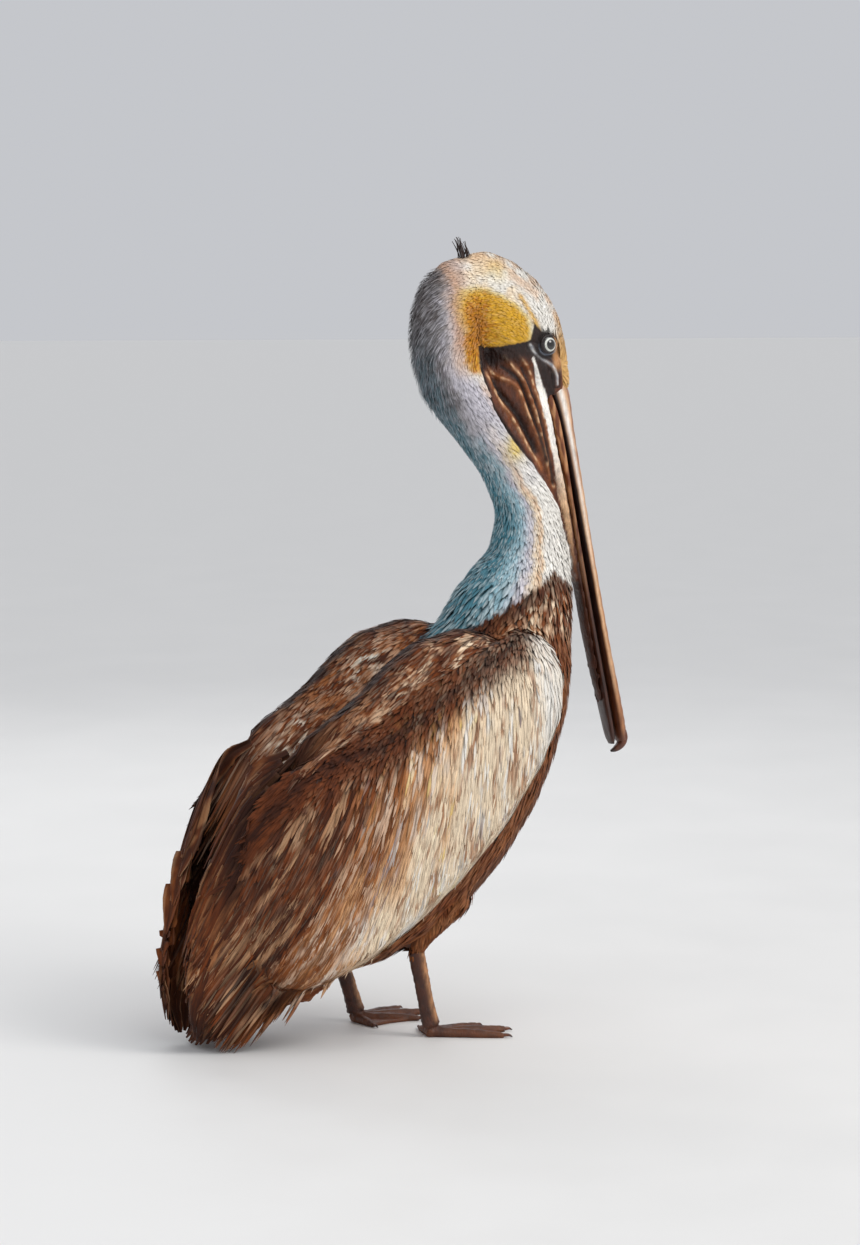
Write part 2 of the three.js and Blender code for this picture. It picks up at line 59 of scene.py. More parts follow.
# No feather comes nearer to the floor than this, and no skin nearer than the sole's gap.
LOWEST = 0.3
SOLE_GAP = 0.15
# Heights between the parts of the coat: bare throat, top of the breast, root of the head.
THROAT_BOTTOM = 225
BREAST_TOP = 378
HEAD_BOTTOM = 548
# A feather's patch on the OFBake map, as a share of the map.
TUFT_PATCH = 0.003
eye_low, eye_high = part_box("eye_right")
SHIFT = np.array([(eye_low.x + eye_high.x) / 2 - EYE[0] * MM, 0.0, 0.0])

# The middle line of the body from rump to crown: x, z and half height of the section.
SPINE = np.array([
    [-150, 86, 12], [-126, 94, 36], [-100, 102, 55], [-70, 116, 71], [-36, 140, 84],
    [-2, 171, 89], [31, 205, 88], [62, 246, 82], [85, 281, 72], [99, 313, 62],
    [108, 343, 54], [119, 371, 44], [125, 406, 32], [125, 423, 29], [121, 440, 26],
    [112, 457, 25], [102, 474, 24], [89, 491, 24], [76, 508, 25], [64, 526, 27],
    [54, 546, 29], [50, 566, 30], [50, 586, 30], [54, 606, 30], [62, 622, 26],
], float)

# Side view of the bare skin of the face and throat.
BARE = np.array([
    [66, 571.5], [82, 569], [105, 573], [112, 575], [115.5, 588], [123, 583], [131, 581.5],
    [138.5, 578], [142.5, 566], [145, 555], [150, 520], [156, 497], [166, 452], [186, 354],
    [206, 271], [207, 230], [196, 236], [172, 330], [171, 355], [157, 406], [141, 441],
    [128, 458], [114, 475], [100, 490], [86, 505.6], [78, 518], [73, 532], [67, 550],
], float)

# Ridges of that skin in side view: points, height, half width.
RIDGES = [
    ([[74, 548], [85.5, 528], [102, 506], [113, 488], [128, 468]], 2.6, 2.6),
    ([[78, 556], [86, 546], [103, 536], [112, 516], [122, 497], [134, 474]], 2.8, 2.6),
    ([[92, 562], [107, 545], [117, 523], [125, 500], [131, 477], [142, 452]], 2.3, 2.4),
    ([[104, 562], [114, 550], [122, 530], [130, 508], [137, 482]], 1.2, 1.8),
]
HOLLOWS = [
    ([[83, 540], [89, 530], [100, 518], [112, 500], [122, 482]], 3.6, 3.0),
    ([[92, 553], [105, 542], [114, 520], [123, 498], [132, 474]], 2.4, 1.8),
    ([[69, 550], [76, 526], [88, 507], [104, 488], [120, 468]], 2.2, 2.0),
    ([[108, 552], [119, 526], [127, 502], [134, 478], [141, 455]], 1.6, 1.5),
]
# Pale stripe down the face, the fold under the eye, and the painted shade of the hollow inside that
# fold.
PALE_STRIPE = [[116, 560], [126, 535], [134, 512], [140.5, 487], [147, 458], [156, 420], [166, 372]]
LID_FOLD = [[112, 571], [117, 566], [125, 560], [134.5, 554], [139.5, 546], [141, 538]]
LID_HOLLOW_SHADE = np.array([
    [112, 567], [124, 535], [131, 524], [140, 530], [138, 548], [124, 560],
], float)

# Upper border of the folded wing in side view: x, z.
WING_BORDER = np.array([
    [-172, 140], [-162, 164], [-141, 197], [-110, 228], [-81, 244], [-55, 247], [-30, 266],
    [-3, 283], [23, 303], [61, 323], [88, 337], [110, 345],
], float)


# ---------------------------------------------------------------- colour and small maths


def srgb(text):
    """Linear colour of a hexadecimal screen colour."""
    value = np.array([int(text[i:i + 2], 16) for i in (0, 2, 4)]) / 255
    return np.where(value <= 0.04045, value / 12.92, ((value + 0.055) / 1.055) ** 2.4)


BLACK_BROWN = srgb("220a03")
DARK_BROWN = srgb("48200b")
BROWN = srgb("723815")
WARM_BROWN = srgb("955628")
TAN = srgb("c18a5c")
PEACH = srgb("e3b88d")
CREAM = srgb("f2ddbf")
WHITE = srgb("f1ede5")
GREY = srgb("8e8a8a")
DARK_GREY = srgb("4d4543")
# Teal of the painted cool shade on the back of the neck.
SHADE_TEAL = srgb("4b8190")
PALE_BLUE = srgb("9dbfca")
LAVENDER = srgb("c9c5cd")
GOLD = srgb("dfab33")
AMBER = srgb("b9741c")
YELLOW = srgb("e3c667")
SLATE = srgb("8791a0")


def ramp(low, high, value):
    """Smooth step from 0 at low to 1 at high; low may be above high."""
    t = np.clip((value - low) / (high - low), 0, 1)
    return t * t * (3 - 2 * t)


def mix(a, b, share):
    share = np.asarray(share)[..., None]
    return a * (1 - share) + b * share


def layered(colour, *layers):
    """A colour with each further (colour, share) mixed over it in turn."""
    for over, share in layers:
        colour = mix(colour, over, share)
    return colour


def bell(value, half):
    """1 at 0, falling off smoothly on both sides."""
    return np.exp(-(value / half) ** 2)


def unit(vectors):
    return vectors / np.maximum(np.linalg.norm(vectors, axis=-1, keepdims=True), 1e-9)


def noise(points, size, seed=0):
    """Smooth value noise from 0 to 1 at points, with cells of a size."""
    at = np.asarray(points) / size + 100.0
    cell = np.floor(at).astype(np.int64)
    part = at - cell
    part = part * part * (3 - 2 * part)
    total = np.zeros(len(at))
    for corner in range(8):
        step = np.array([corner & 1, corner >> 1 & 1, corner >> 2 & 1])
        key = (cell + step) @ np.array([374761393, 668265263, 2147483647]) + seed * 974711
        key = (key ^ (key >> 13)) * 1274126177
        value = ((key ^ (key >> 16)) & 0xFFFF) / 65535
        weight = np.prod(np.where(step, part, 1 - part), axis=1)
        total += value * weight
    return total


def wobble(points, size, seed=0):
    """The same noise from -0.5 to 0.5."""
    return noise(points, size, seed) - 0.5


def streaks(across, along, width, length, seed):
    """Noise from 0 to 1 in long thin streaks."""
    return noise(np.stack([across / width, along / length, 0 * along], axis=1), 1, seed)


def curve(points, steps=8):
    """A smooth line through points."""
    points = np.asarray(points, float)
    padded = np.vstack([2 * points[0] - points[1], points, 2 * points[-1] - points[-2]])
    t = np.linspace(0, 1, steps, endpoint=False)[:, None]
    spans = []
    for a, b, c, d in zip(padded, padded[1:], padded[2:], padded[3:]):
        bend = 2 * b + (c - a) * t + (2 * a - 5 * b + 4 * c - d) * t ** 2
        spans.append((bend + (3 * b - a - 3 * c + d) * t ** 3) / 2)
    return np.vstack([*spans, points[-1:]])


def along_line(flat, line):
    """Distance of flat points from a line, and the share of the line's length at the foot."""
    best = np.full(len(flat), 1e9)
    share = np.zeros(len(flat))
    lengths = np.linalg.norm(np.diff(line, axis=0), axis=1)
    starts = np.concatenate([[0], np.cumsum(lengths)])
    for i, (a, b) in enumerate(zip(line, line[1:])):
        t = np.clip((flat - a) @ (b - a) / max(lengths[i] ** 2, 1e-9), 0, 1)
        gap = np.linalg.norm(flat - (a + t[:, None] * (b - a)), axis=1)
        closer = gap < best
        best = np.where(closer, gap, best)
        share = np.where(closer, (starts[i] + t * lengths[i]) / starts[-1], share)
    return best, share


def within(flat, polygon):
    """Signed distance into a polygon: above 0 inside."""
    inside = np.zeros(len(flat), bool)
    x, z = flat.T
    for (ax, az), (bx, bz) in zip(polygon, np.roll(polygon, -1, axis=0)):
        crosses = (az > z) != (bz > z)
        with np.errstate(divide="ignore", invalid="ignore"):
            at = ax + (z - az) * (bx - ax) / (bz - az)
        inside ^= crosses & (x < at)
    gap, _ = along_line(flat, np.vstack([polygon, polygon[:1]]))
    return np.where(inside, gap, -gap)


# ---------------------------------------------------------------- meshes


def to_frame(points):
    return points * MM + SHIFT


def to_layout(points):
    return (points - SHIFT) / MM


def placed(name, data):
    """An object of the scene that shows some data."""
    piece = bpy.data.objects.new(name, data)
    bpy.context.scene.collection.objects.link(piece)
    return piece


def rows_of(vertices, what="co"):
    """Places or normals of a mesh's vertices, one row each."""
    values = np.zeros(len(vertices) * 3)
    vertices.foreach_get(what, values)
    return values.reshape(-1, 3)


def colour_mesh(mesh, colours):
    """The colour of each vertex, in the layer that the materials read."""
    layer = mesh.color_attributes.new("Coat", "FLOAT_COLOR", "POINT")
    rgba = np.concatenate([colours, np.ones((len(colours), 1))], axis=1)
    layer.data.foreach_set("color", rgba.astype(np.float32).ravel())


def end_cap(row):
    """Quads that close the ring of points at the end of a tube."""
    last = len(row) - 1
    return np.array([[row[k], row[k + 1], row[last - 1 - k], row[last - k]]
                     for k in range(len(row) // 2 - 1)])


def new_piece(name, points, faces, colours, material, stands_for=(), maps=None):
    """A piece from layout points and a face array, riding on the root body."""
    faces = np.asarray(faces, np.int64)
    count, corners = faces.shape
    mesh = bpy.data.meshes.new(name)
    mesh.vertices.add(len(points))
    mesh.vertices.foreach_set("co", to_frame(points).astype(np.float32).ravel())
    mesh.loops.add(count * corners)
    mesh.loops.foreach_set("vertex_index", faces.astype(np.int32).ravel())
    mesh.polygons.add(count)
    mesh.polygons.foreach_set("loop_start", np.arange(0, count * corners, corners, dtype=np.int32))
    mesh.polygons.foreach_set("use_smooth", np.ones(count, bool))
    mesh.update(calc_edges=True)
    colour_mesh(mesh, np.clip(colours, 0, 1))
    for label, values in (maps or {}).items():
        layer = mesh.uv_layers.new(name=label)
        layer.data.foreach_set("uv", values[faces.ravel()].astype(np.float32).ravel())
    piece = placed(name, mesh)
    mesh.materials.append(material)
    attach(piece, "root")
    if stands_for:
        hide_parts(*stands_for)


class Surface:
    """A mesh of layout points and quad faces that feathers are laid on."""

    def __init__(self, points, faces, labels):
        self.points = points
        self.faces = faces
        self.labels = labels
        self.normals = vertex_normals(points, faces)
        self.tree = BVHTree.FromPolygons(points.tolist(), faces.tolist())

    def nearest(self, places):
        hits = [self.tree.find_nearest(place) for place in places.tolist()]
        spots = np.array([hit[0][:] for hit in hits])
        index = np.array([hit[2] for hit in hits])
        ring = self.faces[index]
        gaps = np.linalg.norm(self.points[ring] - spots[:, None], axis=2)
        weights = 1 / (gaps + 0.2)
        return spots, unit((self.normals[ring] * weights[..., None]).sum(1)), self.labels[index]


def vertex_normals(points, faces):
    a, b, c, d = (points[faces[:, k]] for k in range(4))
    cross = np.cross(c - a, d - b)
    total = np.zeros_like(points)
    for k in range(4):
        for axis in range(3):
            total[:, axis] += np.bincount(faces[:, k], cross[:, axis], len(points))
    return unit(total)


def edges_of(faces):
    pairs = np.concatenate([faces[:, [k, (k + 1) % 4]] for k in range(4)])
    return np.unique(np.sort(pairs, axis=1), axis=0)


def spread(values, edges):
    """Mean of each vertex's neighbours."""
    count = np.bincount(edges.ravel(), minlength=len(values)).astype(float)
    total = np.zeros_like(values)
    for axis in range(values.shape[1]):
        total[:, axis] += np.bincount(edges[:, 0], values[edges[:, 1], axis], len(values))
        total[:, axis] += np.bincount(edges[:, 1], values[edges[:, 0], axis], len(values))
    return total / np.maximum(count, 1)[:, None]


def relaxed(points, edges, rounds):
    """Smoothing that keeps the volume."""
    for _ in range(rounds):
        points = points + 0.5 * (spread(points, edges) - points)
        points = points - 0.52 * (spread(points, edges) - points)
    return points


def largest_part(points, faces):
    """Only the largest connected part of a mesh."""
    edges = edges_of(faces)
    owner = np.arange(len(points))
    while True:
        lowest = owner.copy()
        np.minimum.at(lowest, edges[:, 0], owner[edges[:, 1]])
        np.minimum.at(lowest, edges[:, 1], owner[edges[:, 0]])
        lowest = lowest[lowest]
        if np.array_equal(lowest, owner):
            break
        owner = lowest
    names, counts = np.unique(owner, return_counts=True)
    kept = owner == names[counts.argmax()]
    place = np.cumsum(kept) - 1
    return points[kept], place[faces[kept[faces].all(1)]]


def fused(nodes, voxel, grow, rounds):
    """One closed smooth mesh round copies of CAD nodes that are first grown a little."""
    whole = bmesh.new()
    for node in nodes:
        single = bmesh.new()
        single.from_mesh(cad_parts[node].data)
        bmesh.ops.remove_doubles(single, verts=single.verts, dist=0.002 * MM)
        bmesh.ops.recalc_face_normals(single, faces=single.faces)
        single.normal_update()
        for vertex in single.verts:
            vertex.co += vertex.normal * grow * MM
        copy = bpy.data.meshes.new("copy")
        single.to_mesh(copy)
        whole.from_mesh(copy)
        bpy.data.meshes.remove(copy)
        single.free()
    mesh = bpy.data.meshes.new("fused")
    whole.to_mesh(mesh)
    whole.free()
    piece = placed("fused", mesh)
    modifier = piece.modifiers.new("voxels", "REMESH")
    modifier.mode = "VOXEL"
    modifier.voxel_size = voxel * MM
    bpy.context.view_layer.update()
    result = piece.evaluated_get(bpy.context.evaluated_depsgraph_get()).to_mesh()
    points = rows_of(result.vertices)
    faces = np.array([polygon.vertices[:] for polygon in result.polygons])
    bpy.data.objects.remove(piece)
    bpy.data.meshes.remove(mesh)
    points, faces = largest_part(to_layout(points), faces)
    return relaxed(points, edges_of(faces), rounds), faces


# ---------------------------------------------------------------- places on the bird


def on_spine(points):
    """Row along the spine (0 rump to 1 crown), share from back (0) to breast (1), flow."""
    line = curve(SPINE[:, :2], 4)
    halves = curve(SPINE[:, [2, 2]], 4)[:, 0]
    flat = points[:, [0, 2]]
    _, share = along_line(flat, line)
    lengths = np.concatenate([[0], np.cumsum(np.linalg.norm(np.diff(line, axis=0), axis=1))])
    lengths /= lengths[-1]
    middle = np.stack([np.interp(share, lengths, line[:, k]) for k in range(2)], axis=1)
    slope = np.gradient(line, axis=0)
    tangent = unit(np.stack([np.interp(share, lengths, slope[:, k]) for k in range(2)], axis=1))
    up = np.stack([-tangent[:, 1], tangent[:, 0]], axis=1)
    rise = ((flat - middle) * up).sum(1)
    front = np.clip(0.5 - rise / (2 * np.interp(share, lengths, halves)), 0, 1)
    return share, front, -tangent


def body_flow(points):
    """The way the feathers of head, neck and trunk point."""
    _, _, down = on_spine(points)
    x, z = points[:, 0], points[:, 2]
    around = unit(np.stack([-(z - 540), x - 80], axis=1))
    head = ramp(540, 572, z)
    flat = unit(mix(down, around, head))
    return np.stack([flat[:, 0], np.zeros(len(flat)), flat[:, 1]], axis=1)


def covert_lean(x):
    """How far the covert feathers lean back from straight down, in radians."""
    return np.radians(6 + 27 * ramp(60, -160, x))


def covert_flow(points):
    """Covert feathers hang almost straight down and lean back toward the tail."""
    x, z = points[:, 0], points[:, 2]
    below = np.interp(x, WING_BORDER[:, 0], WING_BORDER[:, 1]) - z
    lean = covert_lean(x) + math.radians(24) * ramp(30, 0, below)
    return np.stack([-np.sin(lean), np.zeros(len(x)), -np.cos(lean)], axis=1)


def scapular_flow(points):
    lean = np.radians(52 - 14 * ramp(-20, -140, points[:, 0]))
    return np.stack([-np.sin(lean), np.zeros(len(lean)), -np.cos(lean)], axis=1)


# ---------------------------------------------------------------- markings


def body_marks(points):
    """Base colour, accent colour and share of accent for trunk, neck and head."""
    share, front, _ = on_spine(points)
    x, _, z = points.T
    flat = points[:, [0, 2]]
    wave = wobble(points, 9, 1)
    fine = wobble(points, 3, 2)
    lines = streaks(front * 260 + 3 * np.sin(share * 260), share * 900, 2.6, 26, 3)

    # trunk: warm brown, darker along the back and low on the belly
    base = mix(BROWN, WARM_BROWN, np.clip(0.3 + 1.2 * wave, 0, 1))
    base = layered(
        base,
        (DARK_BROWN, 0.7 * ramp(0.3, 0.1, front)),
        (DARK_BROWN, 0.6 * ramp(0.35, 0.15, lines)))
    accent = np.broadcast_to(TAN, base.shape)
    amount = 0.25 + 0 * x
    collar = 381 - 0.62 * np.maximum(128 - x, 0) - 0.5 * np.maximum(x - 128, 0) + 5 * fine
    chest = ramp(collar - 70, collar - 34, z) * ramp(0.2, 0.4, front)
    base = layered(
        base,
        (TAN, 0.8 * ramp(0.5, 0.75, lines) * (0.25 + 0.75 * chest)),
        (CREAM, 0.8 * ramp(0.62, 0.85, lines) * chest))
    accent = mix(accent, CREAM, chest)
    amount = amount + 0.2 * chest
    band = ramp(collar - 17, collar - 8, z)
    base = mix(base, DARK_BROWN, 0.85 * band)
    amount = amount * (1 - 0.6 * band)

    # neck: white in front, with painted cool shade of teal behind and pale blue and lavender at the
    # side
    edge = front + 0.09 * wave + 0.05 * fine
    neck = mix(SHADE_TEAL, PALE_BLUE, ramp(0.05, 0.2, edge))
    neck = layered(
        neck,
        (LAVENDER, ramp(0.18, 0.3, edge)),
        (CREAM, ramp(0.3, 0.38, edge)),
        (TAN, 0.55 * bell(edge - 0.42, 0.03) * ramp(500, 470, z)),
        (WHITE, ramp(0.43, 0.5, edge)))
    nape = ramp(445, 520, z + 30 * wave)
    side = mix(DARK_GREY * 1.3, GREY, ramp(-0.04, 0.1, edge + 0.3 * fine))
    side = layered(
        side,
        # painted cool shade of teal on the back of the nape
        (SHADE_TEAL, 0.55 * ramp(0.22, 0.05, edge) * ramp(600, 520, z)),
        (LAVENDER, ramp(0.1, 0.42, edge + 0.25 * fine)),
        (PEACH, 0.6 * ramp(0.55, 0.75, edge) * ramp(500, 530, z)))
    neck = mix(neck, side, nape)
    above = ramp(collar - 1.5, collar + 1.5, z)
    base = mix(base, neck, above)
    accent = mix(accent, mix(WHITE, LAVENDER, nape), above)
    amount = amount * (1 - above) + above * 0.4
    spot = bell(np.hypot(x - 100, (z - 487) * 0.7), 8)
    base = mix(base, YELLOW, np.clip(1.2 * spot, 0, 0.9))

    # head: cream crown, golden patch behind the eye, pink-tan rim against the nape
    crown = ramp(34, 46, x + 8 * wave) * ramp(534, 552, z + 0.35 * (x - 60))
    crown = np.maximum(crown, ramp(52, 62, x) * ramp(546, 554, z))
    colour = mix(CREAM, WHITE, np.maximum(ramp(0.3, 0.6, noise(points, 12, 4)), ramp(92, 108, x)))
    top = 645 - 0.0048 * (x - 66) ** 2 - 0.32 * np.maximum(x - 66, 0)
    colour = layered(
        colour,
        (PEACH, 0.6 * ramp(12, 1, top - z) * ramp(0.2, 0.6, noise(points, 7, 13))),
        (mix(TAN, LAVENDER, 0.45), 0.75 * ramp(62, 50, x)))
    spot = bell(np.hypot(x - 84, z - 632), 9)
    colour = mix(colour, YELLOW, 0.5 * spot)
    along = (x - 82) * 0.85 - (z - 592) * 0.53
    aside = (x - 82) * 0.53 + (z - 592) * 0.85
    patch = np.sqrt((along / 35) ** 2 + (aside / np.where(aside > 0, 17, 25)) ** 2)
    patch = patch + 0.14 * wave + 0.1 * fine
    colour = layered(
        colour,
        (YELLOW, 0.8 * ramp(1.32, 1.0, patch)),
        (GOLD, ramp(1.1, 0.9, patch)))
    drop = np.hypot((x - 61) / 12, (z - 566) / 18) + 0.25 * wave + 0.3 * fine
    colour = mix(colour, GOLD, ramp(1.15, 0.75, drop))
    ember = np.hypot(x - 62, (z - 580) * 0.6) / 17 + 0.3 * wave + 0.35 * fine
    speck = 1.6 * wobble(points, 1.3, 14)
    patch = np.minimum(patch, drop)
    colour = mix(colour, AMBER, 0.95 * ramp(1.6, 0.45, ember + speck) * ramp(1.2, 0.8, patch))
    rim = bell(x - 46 + 0.12 * (z - 590), 7) * ramp(555, 575, z)
    colour = mix(colour, TAN, 0.6 * rim * ramp(0.9, 1.05, patch))
    fold, _ = along_line(flat, np.array([[103, 611], [112, 597], [121, 583]]))
    colour = mix(colour, GOLD, 0.9 * bell(fold, 2.2))
    strip = ramp(134, 144, x) * ramp(612, 572, z + 16 * wave + 12 * fine)
    colour = mix(colour, mix(GOLD, TAN, 0.4 + 0 * x), 0.9 * strip)
    base = mix(base, colour, crown)
    accent = mix(accent, WHITE, crown)
    amount = amount * (1 - 0.75 * crown)
    return base, accent, np.clip(amount, 0, 1)


def covert_marks(points):
    """Wing coverts: brown behind and along the border, cream in front, in fine streaks, with a painted
    shadow under the border.
    """
    x, y, z = points.T
    border = np.interp(x, WING_BORDER[:, 0], WING_BORDER[:, 1])
    across = x - (z - 170) * np.tan(covert_lean(x)) + 400 * (y > 0)
    wide = streaks(across, z, 9, 90, 5)
    fine = streaks(across, z, 2.6, 34, 6)
    hair = streaks(across, z, 1.5, 20, 7)
    below = border - z + 7 * (fine - 0.5)
    light = ramp(-34, 102, x + 125 - 0.37 * (z - 60) + 50 * (wide - 0.5) + 34 * (fine - 0.5))
    base = mix(DARK_BROWN, BROWN, ramp(0.0, 0.12, light + 0.5 * (hair - 0.3)))
    base = layered(
        base,
        (WARM_BROWN, ramp(0.05, 0.38, light)),
        (TAN, ramp(0.25, 0.55, light)),
        (PEACH, ramp(0.5, 0.75, light)),
        (CREAM, ramp(0.68, 0.95, light)))
    front = ramp(76, 100, x) * ramp(345, 325, z)
    base = mix(base, WHITE, 0.85 * front)
    stroke = ramp(0.6, 0.78, hair) * (0.75 - 0.5 * front)
    base = mix(base, mix(DARK_BROWN, WARM_BROWN, light), stroke)
    pale = ramp(0.62, 0.8, streaks(across, z, 2.2, 46, 8)) * (0.5 + 0.4 * light)
    base = mix(base, mix(mix(TAN, PEACH, 0.6), WHITE, light), pale * ramp(0, 30, below))
    ink = ramp(0.6, 0.76, streaks(across, z, 2.3, 60, 16)) * ramp(0.5, 0.05, light)
    base = mix(base, BLACK_BROWN, 0.7 * ink)
    rare = ramp(0.84, 0.92, streaks(across, z, 2.4, 44, 9)) * ramp(-80, -10, x) * ramp(90, 40, x)
    base = mix(base, YELLOW, 0.6 * rare)
    cold = ramp(0.86, 0.93, streaks(across, z, 2.4, 38, 10)) * ramp(-110, -40, x)
    base = mix(base, SLATE, 0.5 * cold * ramp(10, 40, below))
    dark = ramp(34, 10, below) * (1 - front)
    base = mix(base, mix(DARK_BROWN, BROWN, hair), 0.92 * dark)
    # painted shadow in the fold just under the wing's border
    border_shadow = bell(below - 2, 4.5) * (1 - front)
    base = mix(base, BLACK_BROWN, 0.75 * border_shadow)
    return base, np.broadcast_to(CREAM, base.shape), 0.08 * (1 - dark) + 0.18 * light


def back_valley_shade(points):
    """Painted shade in the valley on each side of the back, and a dark line along its middle that is
    partly the back's own dark brown and partly painted shade.
    """
    side = np.abs(points[:, 1]) + 3 * wobble(points, 7, 15)
    return np.clip(bell(side - 53, 8.5) + ramp(17, 9, side), 0, 1)


def scapular_marks(points):
    """Shoulder feathers: wavy cream and brown, with painted blue-white highlights in two patches;
    almost black along the middle of the back and in a valley on each side, partly dark brown and
    partly painted shade.
    """
    x, y, z = points.T
    across = x * 0.62 - z * 0.78
    along = -x * 0.78 - z * 0.62 + 300 * (y > 0)
    bend = across + 3 * np.sin(along / 9)
    fine = streaks(bend, along, 1.9, 19, 12)
    # painted blue-white highlights in two patches on the row of shoulder feathers nearer the middle of
    # the back; the outer row has its own cream streaks
    highlight_places = bell(x + 12, 15) + bell(x + 82, 17)
    inner = bell(np.abs(y) - 30, 10)
    outer = bell(np.abs(y) - 76, 11) * (0.35 + 0.65 * ramp(-80, 30, x))
    cream_and_highlight = np.maximum(inner * highlight_places, outer)
    base = mix(DARK_BROWN, BROWN, ramp(0.2, 0.5, fine))
    base = layered(
        base,
        (WARM_BROWN, ramp(0.45, 0.75, fine)),
        (TAN, ramp(0.5, 0.75, fine) * np.clip(0.1 + 0.8 * cream_and_highlight, 0, 0.9)),
        (CREAM, ramp(0.56, 0.8, fine) * np.clip(cream_and_highlight, 0, 0.85)),
        (PALE_BLUE, 0.5 * ramp(0.6, 0.8, fine) * inner * np.clip(highlight_places, 0, 1)))
    # painted shade in the valleys of the back, where the middle of the back is also dark brown
    groove = back_valley_shade(points)
    base = layered(
        base,
        (BLACK_BROWN, 0.9 * groove),
        (DARK_BROWN, 0.6 * ramp(-80, -130, x)))
    return base, np.broadcast_to(CREAM, base.shape), 0.22 * (1 - groove)


# ---------------------------------------------------------------- feathers


def steady(value):
    """The same value everywhere."""
    return lambda points: np.full(len(points), float(value))


def rising(root, gain, power=0.8):
    """How far a feather stands off: at its root, and gained toward its tip."""
    return lambda t: root + gain * t ** power


def scattered(surface, wanted, spacing, keep=None):
    """Even random places on the faces with the wanted labels: points and normals."""
    chosen = np.flatnonzero(np.isin(surface.labels, wanted))
    ring = surface.faces[chosen]
    a, b, c, d = (surface.points[ring[:, k]] for k in range(4))
    areas = np.linalg.norm(np.cross(c - a, d - b), axis=1) / 2
    count = int(3.2 * areas.sum() / spacing ** 2)
    pick = rng.choice(len(chosen), count, p=areas / areas.sum())
    u, v = rng.random((2, count, 1))
    low = a[pick] * (1 - u) + b[pick] * u
    high = d[pick] * (1 - u) + c[pick] * u
    spots = low * (1 - v) + high * v
    cells = np.floor(spots / spacing + rng.random(3)).astype(np.int64)
    _, first = np.unique(cells @ np.array([1, 4096, 4096 ** 2]), return_index=True)
    spots = spots[first]
    ring = ring[pick[first]]
    normals = unit(surface.normals[ring].mean(1))
    kept = np.ones(len(spots), bool) if keep is None else keep(spots)
    return spots[kept], normals[kept]


def traced(surface, roots, normals, flow, lengths, stations, home, spill):
    """Paths that run over the surface with the flow: points, normals and lengths.

    A path that comes to an edge, or to a part with a label outside home, goes straight on
    and a little inward, for no more than the spill.
    """
    def walk(lengths):
        spot, normal, loose = roots, normals, np.zeros(len(roots), bool)
        path, facing, on = [spot], [normal], [~loose]
        step = (lengths / (stations - 1))[:, None]
        for _ in range(stations - 1):
            way = flow(spot)
            inward = way - np.stack([0 * lengths, 0.3 * np.sign(spot[:, 1]), 0 * lengths], axis=1)
            way = unit(way - (way * normal).sum(1, keepdims=True) * normal)
            ahead = spot + np.where(loose[:, None], unit(inward), way) * step
            found, turned, label = surface.nearest(ahead)
            gap = np.linalg.norm(found - ahead, axis=1)
            loose = loose | ((turned * normal).sum(1) < 0.62) | (gap > 0.45 * step[:, 0] + 0.8)
            loose = loose | ~np.isin(label, home)
            spot = np.where(loose[:, None], ahead, found)
            normal = np.where(loose[:, None], normal, turned)
            path.append(spot)
            facing.append(normal)
            on.append(~loose)
        return np.stack(path, 1), np.stack(facing, 1), np.stack(on, 1)

    path, facing, on = walk(lengths)
    reach = lengths * (on.sum(1) - 0.5) / (stations - 1)
    lengths = np.where(on[:, -1], lengths, np.minimum(lengths, reach + spill(roots)))
    path, facing, on = walk(lengths)
    hanging = lengths * (stations - on.sum(1)) / (stations - 1)
    lengths = np.where(hanging > 1.5 * spill(roots) + 3, 0, lengths)
    return path, facing, lengths


def vanes(path, facing, widths, profile, lift, camber, ragged, columns=3):
    """Thin cambered vanes along paths: points, faces and each point's place on its vane."""
    count, stations, _ = path.shape
    tangent = unit(np.gradient(path, axis=1))
    side = unit(np.cross(tangent, facing))
    across = np.linspace(-1, 1, columns)
    half = widths[:, None] / 2 * np.asarray(profile)
    rise = np.asarray(lift)[None, :, None] + camber * (1 - across ** 2)[None, None] * half[..., None]
    turn = rng.normal(0, 1, count) * ragged
    skew = np.linspace(0, 1, stations)[None] * turn[:, None]
    points = path[:, :, None] + side[:, :, None] * (
        across[None, None, :, None] * half[..., None, None] + skew[..., None, None])
    points = points + facing[:, :, None] * rise[..., None]
    points[..., 2] = np.maximum(points[..., 2], LOWEST)
    grid = np.arange(stations * columns).reshape(stations, columns)
    quad = np.stack([grid[:-1, :-1], grid[:-1, 1:], grid[1:, 1:], grid[1:, :-1]], -1).reshape(-1, 4)
    faces = (quad[None] + (np.arange(count) * stations * columns)[:, None, None]).reshape(-1, 4)
    along = np.broadcast_to(np.linspace(0, 1, stations)[None, :, None], points.shape[:3])
    over = np.broadcast_to(across[None, None], points.shape[:3])
    return points, faces, along, over


